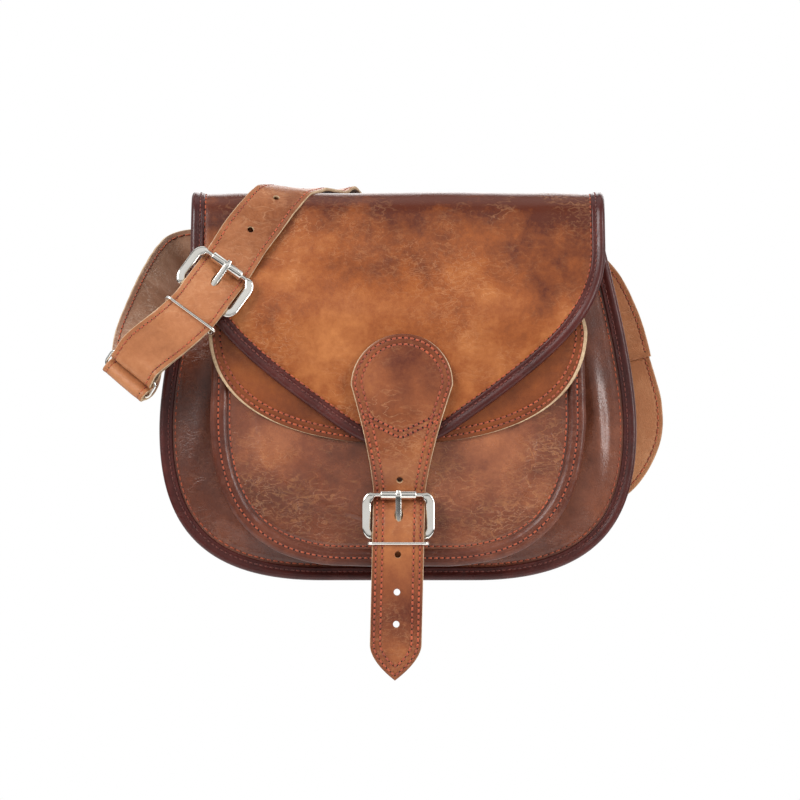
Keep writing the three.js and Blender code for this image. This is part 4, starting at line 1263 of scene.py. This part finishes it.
def make_shoulder_front():
    """From the back, over the flap, through the buckle, round the ring and back to it."""
    buckle = SHOULDER_BUCKLE
    u, pivot = buckle.u, buckle.point(0, buckle.pivot, 0)
    bend = 2.0 + STRAP_THICKNESS / 2
    inwards = np.cross(RING_ACROSS, RING_AWAY)
    on_back, on_crown = array(0.809, 0, 0.588), array(0.809, -0.588, 0)

    def at(v, w, a=0.0):
        return buckle.point(a, v, w), u

    def before_ring(along, depth):
        return RING_NEAR - RING_AWAY * along + inwards * depth, RING_ACROSS

    stops = [
        ((-15.8, 40.4, 184.2), on_back), ((-29.1, 40.4, 202.8), on_back),
        ((-34, 38.2, 214.5), (0.809, -0.25, 0.53)),
        ((-38, 31, 221.6), (0.8, -0.52, 0.3)),
        ((-43, 21, 222.9), on_crown), ((-50, 4, 222.9), on_crown),
        ((-57.5, -14, 222.9), on_crown),
        ((-64, -29, 222.9), (0.79, -0.58, -0.2)),
        ((-71.5, -41.5, 217.6), (0.77, -0.42, -0.5)),
        ((-81, -49.6, 206), (0.77, -0.2, -0.62)),
        at(34, -2.6, -1.4), at(22, -3.9, -0.6), at(13, -4.35), at(8, -3.1), at(2, 2.3),
        at(-5, 5.2), at(-11.5, 5.6), at(-18, 5.1), at(-24.8, 3.2, -0.7), at(-38, 2.4, -3.4),
        before_ring(10, -RING_TURN),
        *half_turn(RING_NEAR, RING_AWAY, inwards, RING_TURN, RING_ACROSS),
        before_ring(10, RING_TURN),
        at(-38, -1.4, -3.4), at(-24.8, -1.6, -0.7), at(buckle.pivot - 4, 0.2 - bend),
        *half_turn(pivot, buckle.v, buckle.w, bend, u),
        at(buckle.pivot - 3.5, bend - 0.2),
    ]

    def holes(strip):
        """The prong's hole and slot, and two adjustment holes further back."""
        away = np.linalg.norm(strip.centre - buckle.point(0, 1.0, 2.3), axis=1)
        prong_at = strip.u[np.argmin(away)]
        return [cutter(buckle.point(0, 1.0, 2.0), u, buckle.v, buckle.w, *PRONG_HOLE, 10),
                cutter(buckle.point(0, buckle.pivot + 1.0, 0.0), u, buckle.v, buckle.w,
                       2.5, 4.4, 9, corners=8),
                *(hole_in(strip, prong_at - back, PUNCHED_HOLE, PUNCHED_HOLE, 8)
                  for back in (41, 68))]

    make_strap("shoulder_front_leather", "shoulder_strap_front", stops, STRAP_AT_FOLD,
               [STRAP, RAW, SUEDE], 61, holes=holes)


def make_shoulder_rear():
    """From the splice on the right, down and round behind the bag to the front strap."""
    climbing = array(-0.809, 0, -0.588)
    stops = [
        ((131, 44.6, 134), (0.974, 0, 0.226)),
        ((135, 44.5, 122), (0.974, 0, 0.226)),
        ((138.9, 42.6, 109.3), (0.98, 0, 0.2)),
        ((142.4, 42, 95), (0.995, 0, 0.1)),
        ((141.6, 42, 77), (0.96, 0, -0.28)),
        ((128, 42, 55), (0.66, 0, -0.75)),
        ((103, 42, 46), (0.05, 0, -1)),
        ((78, 41.6, 56.5), (-0.62, 0, -0.78)),
        ((47, 41, 95), climbing), ((16, 40.8, 138), climbing),
        ((-15.2, 40.4, 182.9), climbing),
    ]
    make_strap("shoulder_rear_leather", "shoulder_strap_rear", stops, "bag",
               [STRAP, RAW, STRAP], 63, both=True)


def make_left_tab():
    """From the back of the bag forward to the ring and round its far bar."""
    upright, backwards = array(0, 0, 1), -RING_ACROSS
    home = square_to_ring((0.1, 0.8, 0.6))
    side = unit(np.cross(-home, RING_ACROSS))

    def near_ring(along, out):
        return RING_FAR + home * along + side * out, backwards

    stops = [
        ((-88, 38.6, 177), upright), ((-100, 38.8, 180.5), upright),
        ((-110, 40.1, 184), (-0.12, 0, 1)),
        ((-120, 40.4, 186), (-0.3, 0, 0.95)),
        ((-128.5, 36, 184.5), (-0.42, 0, 0.9)),
        ((-134, 25, 179), (-0.5, 0, 0.86)),
        ((-140.5, 5, 166.5), (-0.6, 0.05, 0.78)),
        ((-147, -17, 150), (-0.68, 0.12, 0.68)),
        ((-152.5, -36, 133), backwards),
        near_ring(11, -RING_TURN),
        *half_turn(RING_FAR, -home, side, RING_TURN, backwards),
        near_ring(9, RING_TURN),
    ]
    make_strap("left_tab_leather", "left_strap_tab", stops, TAB_TO_RING,
               [STRAP, RAW, TAB_INSIDE_PAINTED_LIGHT], 65, both=True)


def make_right_tab():
    """From the back of the bag out to the splice with the rear strap."""
    stops = [
        ((105, 40, 185.5), (0.86, 0, 0.5)), ((110, 40.1, 177), (0.87, 0, 0.49)),
        ((120, 40.8, 165), (0.87, 0, 0.49)),
        ((129.5, 42, 145.5), (0.93, 0, 0.36)),
        ((133.5, 42, 133.2), (0.974, 0, 0.226)),
        ((136.3, 42, 121.8), (0.974, 0, 0.226)),
    ]
    make_strap("right_tab_leather", "right_strap_tab", stops, "bag",
               [STRAP, RAW, TAB_INSIDE_PAINTED_LIGHT], 67, both=True)


def make_chape():
    """The short strap from the pocket, round the closure buckle's bar and back."""
    buckle = CLOSURE_BUCKLE
    bend = 3.0
    across = array(1.0, 0, 0)
    stops = [
        (buckle.point(0, -28.7, -3.6), across), (buckle.point(0, -22, -3.6), across),
        (buckle.point(0, buckle.pivot - 4, 0.3 - bend), across),
        *half_turn(buckle.point(0, buckle.pivot, 0), buckle.v, buckle.w, bend, across),
        (buckle.point(0, buckle.pivot - 4, bend - 0.3), across),
        (buckle.point(0, -22, -1.2), across), (buckle.point(0, -28.7, -1.2), across),
    ]
    slot = cutter(buckle.point(0, buckle.pivot + 0.3, 0.0), buckle.u, buckle.v, buckle.w,
                  2.6, 4.4, 9, corners=8)
    make_strap("closure_chape_leather", "closure_chape", stops, "bag", [CLOSURE, RAW, SUEDE],
               69, half_width=12.5, thickness=2.0,
               holes=lambda strip: [slot])


make_panels()
make_gusset()
make_body_bindings()
make_pocket()
make_pocket_flap()
make_flap()
make_closure_strap()
make_chape()
for each in (CLOSURE_BUCKLE, SHOULDER_BUCKLE):
    make_buckle(each)
make_keeper(CLOSURE_BUCKLE, -15.4, 17.6, -5.0, 8.4)
make_keeper(SHOULDER_BUCKLE, -24.8, 17.0, -4.2, 5.4)
make_wire("strap_ring_wire", "strap_ring", "strap_ring", RING_NEAR, RING_ACROSS, RING_AWAY,
          16.8, 0.0, RING_DEPTH)
make_shoulder_front()
make_shoulder_rear()
make_left_tab()
make_right_tab()


# ---------------------------------------------------------------- stage, light and camera
def make_floor():
    bpy.ops.mesh.primitive_circle_add(vertices=96, radius=1.1, fill_type="NGON",
                                      location=(0, 0.1, -0.42))
    floor = bpy.context.object
    floor.name = "floor"
    n = Nodes("pale_floor")
    haze = n.noise(2)
    colour = n.ramp(haze, (0.2, (0.86, 0.86, 0.86)), (0.8, (0.9, 0.9, 0.9)))
    floor.data.materials.append(n.finish(colour, n.remap(haze, 0, 1, 0.85, 0.9), haze, 0.01, 0.1))


def add_light(name, at, width, height, watts, colour=(1, 1, 1)):
    light = bpy.data.lights.new(name, "AREA")
    light.shape, light.size, light.size_y = "RECTANGLE", width, height
    light.energy, light.color = watts, colour
    obj = bpy.data.objects.new(name, light)
    obj.location = at
    aim = Vector((0, -0.03, 0.11)) - Vector(at)
    obj.rotation_euler = aim.to_track_quat("-Z", "Y").to_euler()
    bpy.context.scene.collection.objects.link(obj)


SKY = ((0.0, 0.3), (0.42, 0.08), (0.47, 1.0), (0.53, 1.0), (0.6, 0.1), (0.67, 1.0),
       (0.84, 1.0), (0.9, 0.1), (1.0, 0.3))  # grey by height, from straight down to straight up


def make_world():
    """White where the camera looks past the bag, and a softer grey as light."""
    world = bpy.data.worlds.new("studio")
    bpy.context.scene.world = world
    world.use_nodes = True
    tree = world.node_tree
    soft = tree.nodes["Background"]
    direction = tree.nodes.new("ShaderNodeTexCoord")
    split = tree.nodes.new("ShaderNodeSeparateXYZ")
    bands = tree.nodes.new("ShaderNodeValToRGB")
    tree.links.new(direction.outputs["Generated"], split.inputs[0])
    remap = tree.nodes.new("ShaderNodeMapRange")
    remap.inputs["From Min"].default_value = -1
    tree.links.new(split.outputs["Z"], remap.inputs["Value"])
    tree.links.new(remap.outputs[0], bands.inputs["Fac"])
    stops = bands.color_ramp.elements
    while len(stops) < len(SKY):
        stops.new(0.5)
    for stop, (height, grey) in zip(stops, SKY):
        stop.position = height
        stop.color = (grey, grey, grey, 1)
    tree.links.new(bands.outputs["Color"], soft.inputs["Color"])
    soft.inputs["Strength"].default_value = 0.75
    white = tree.nodes.new("ShaderNodeBackground")
    white.inputs["Strength"].default_value = 1.0
    white.inputs["Color"].default_value = (1, 1, 1, 1)
    ray = tree.nodes.new("ShaderNodeLightPath")
    mix = tree.nodes.new("ShaderNodeMixShader")
    tree.links.new(ray.outputs["Is Camera Ray"], mix.inputs["Fac"])
    tree.links.new(soft.outputs[0], mix.inputs[1])
    tree.links.new(white.outputs[0], mix.inputs[2])
    tree.links.new(mix.outputs[0], tree.nodes["World Output"].inputs["Surface"])


def make_camera():
    """Level and square on, far enough away to look almost flat."""
    distance, frame_width = 6.0, 0.4696
    bag_front = -0.05
    camera = bpy.data.cameras.new("camera")
    camera.sensor_width = 36
    camera.lens = 36 * distance / frame_width
    camera.clip_end = 20
    obj = bpy.data.objects.new("camera", camera)
    obj.location = (0.0012, bag_front - distance, 0.0992)
    obj.rotation_euler = (math.pi / 2, 0, 0)
    bpy.context.scene.collection.objects.link(obj)
    bpy.context.scene.camera = obj


make_floor()
make_world()
add_light("key", (-1.05, -1.0, 0.9), 0.8, 0.9, 22)
add_light("fill", (1.25, -0.85, 0.4), 0.4, 1.2, 13)
add_light("top", (0.0, 0.0, 1.3), 1.2, 0.9, 3.5)
add_light("back", (0.3, 1.2, 0.7), 1.2, 0.8, 8)
make_camera()
bpy.context.scene.view_settings.view_transform = "Standard"
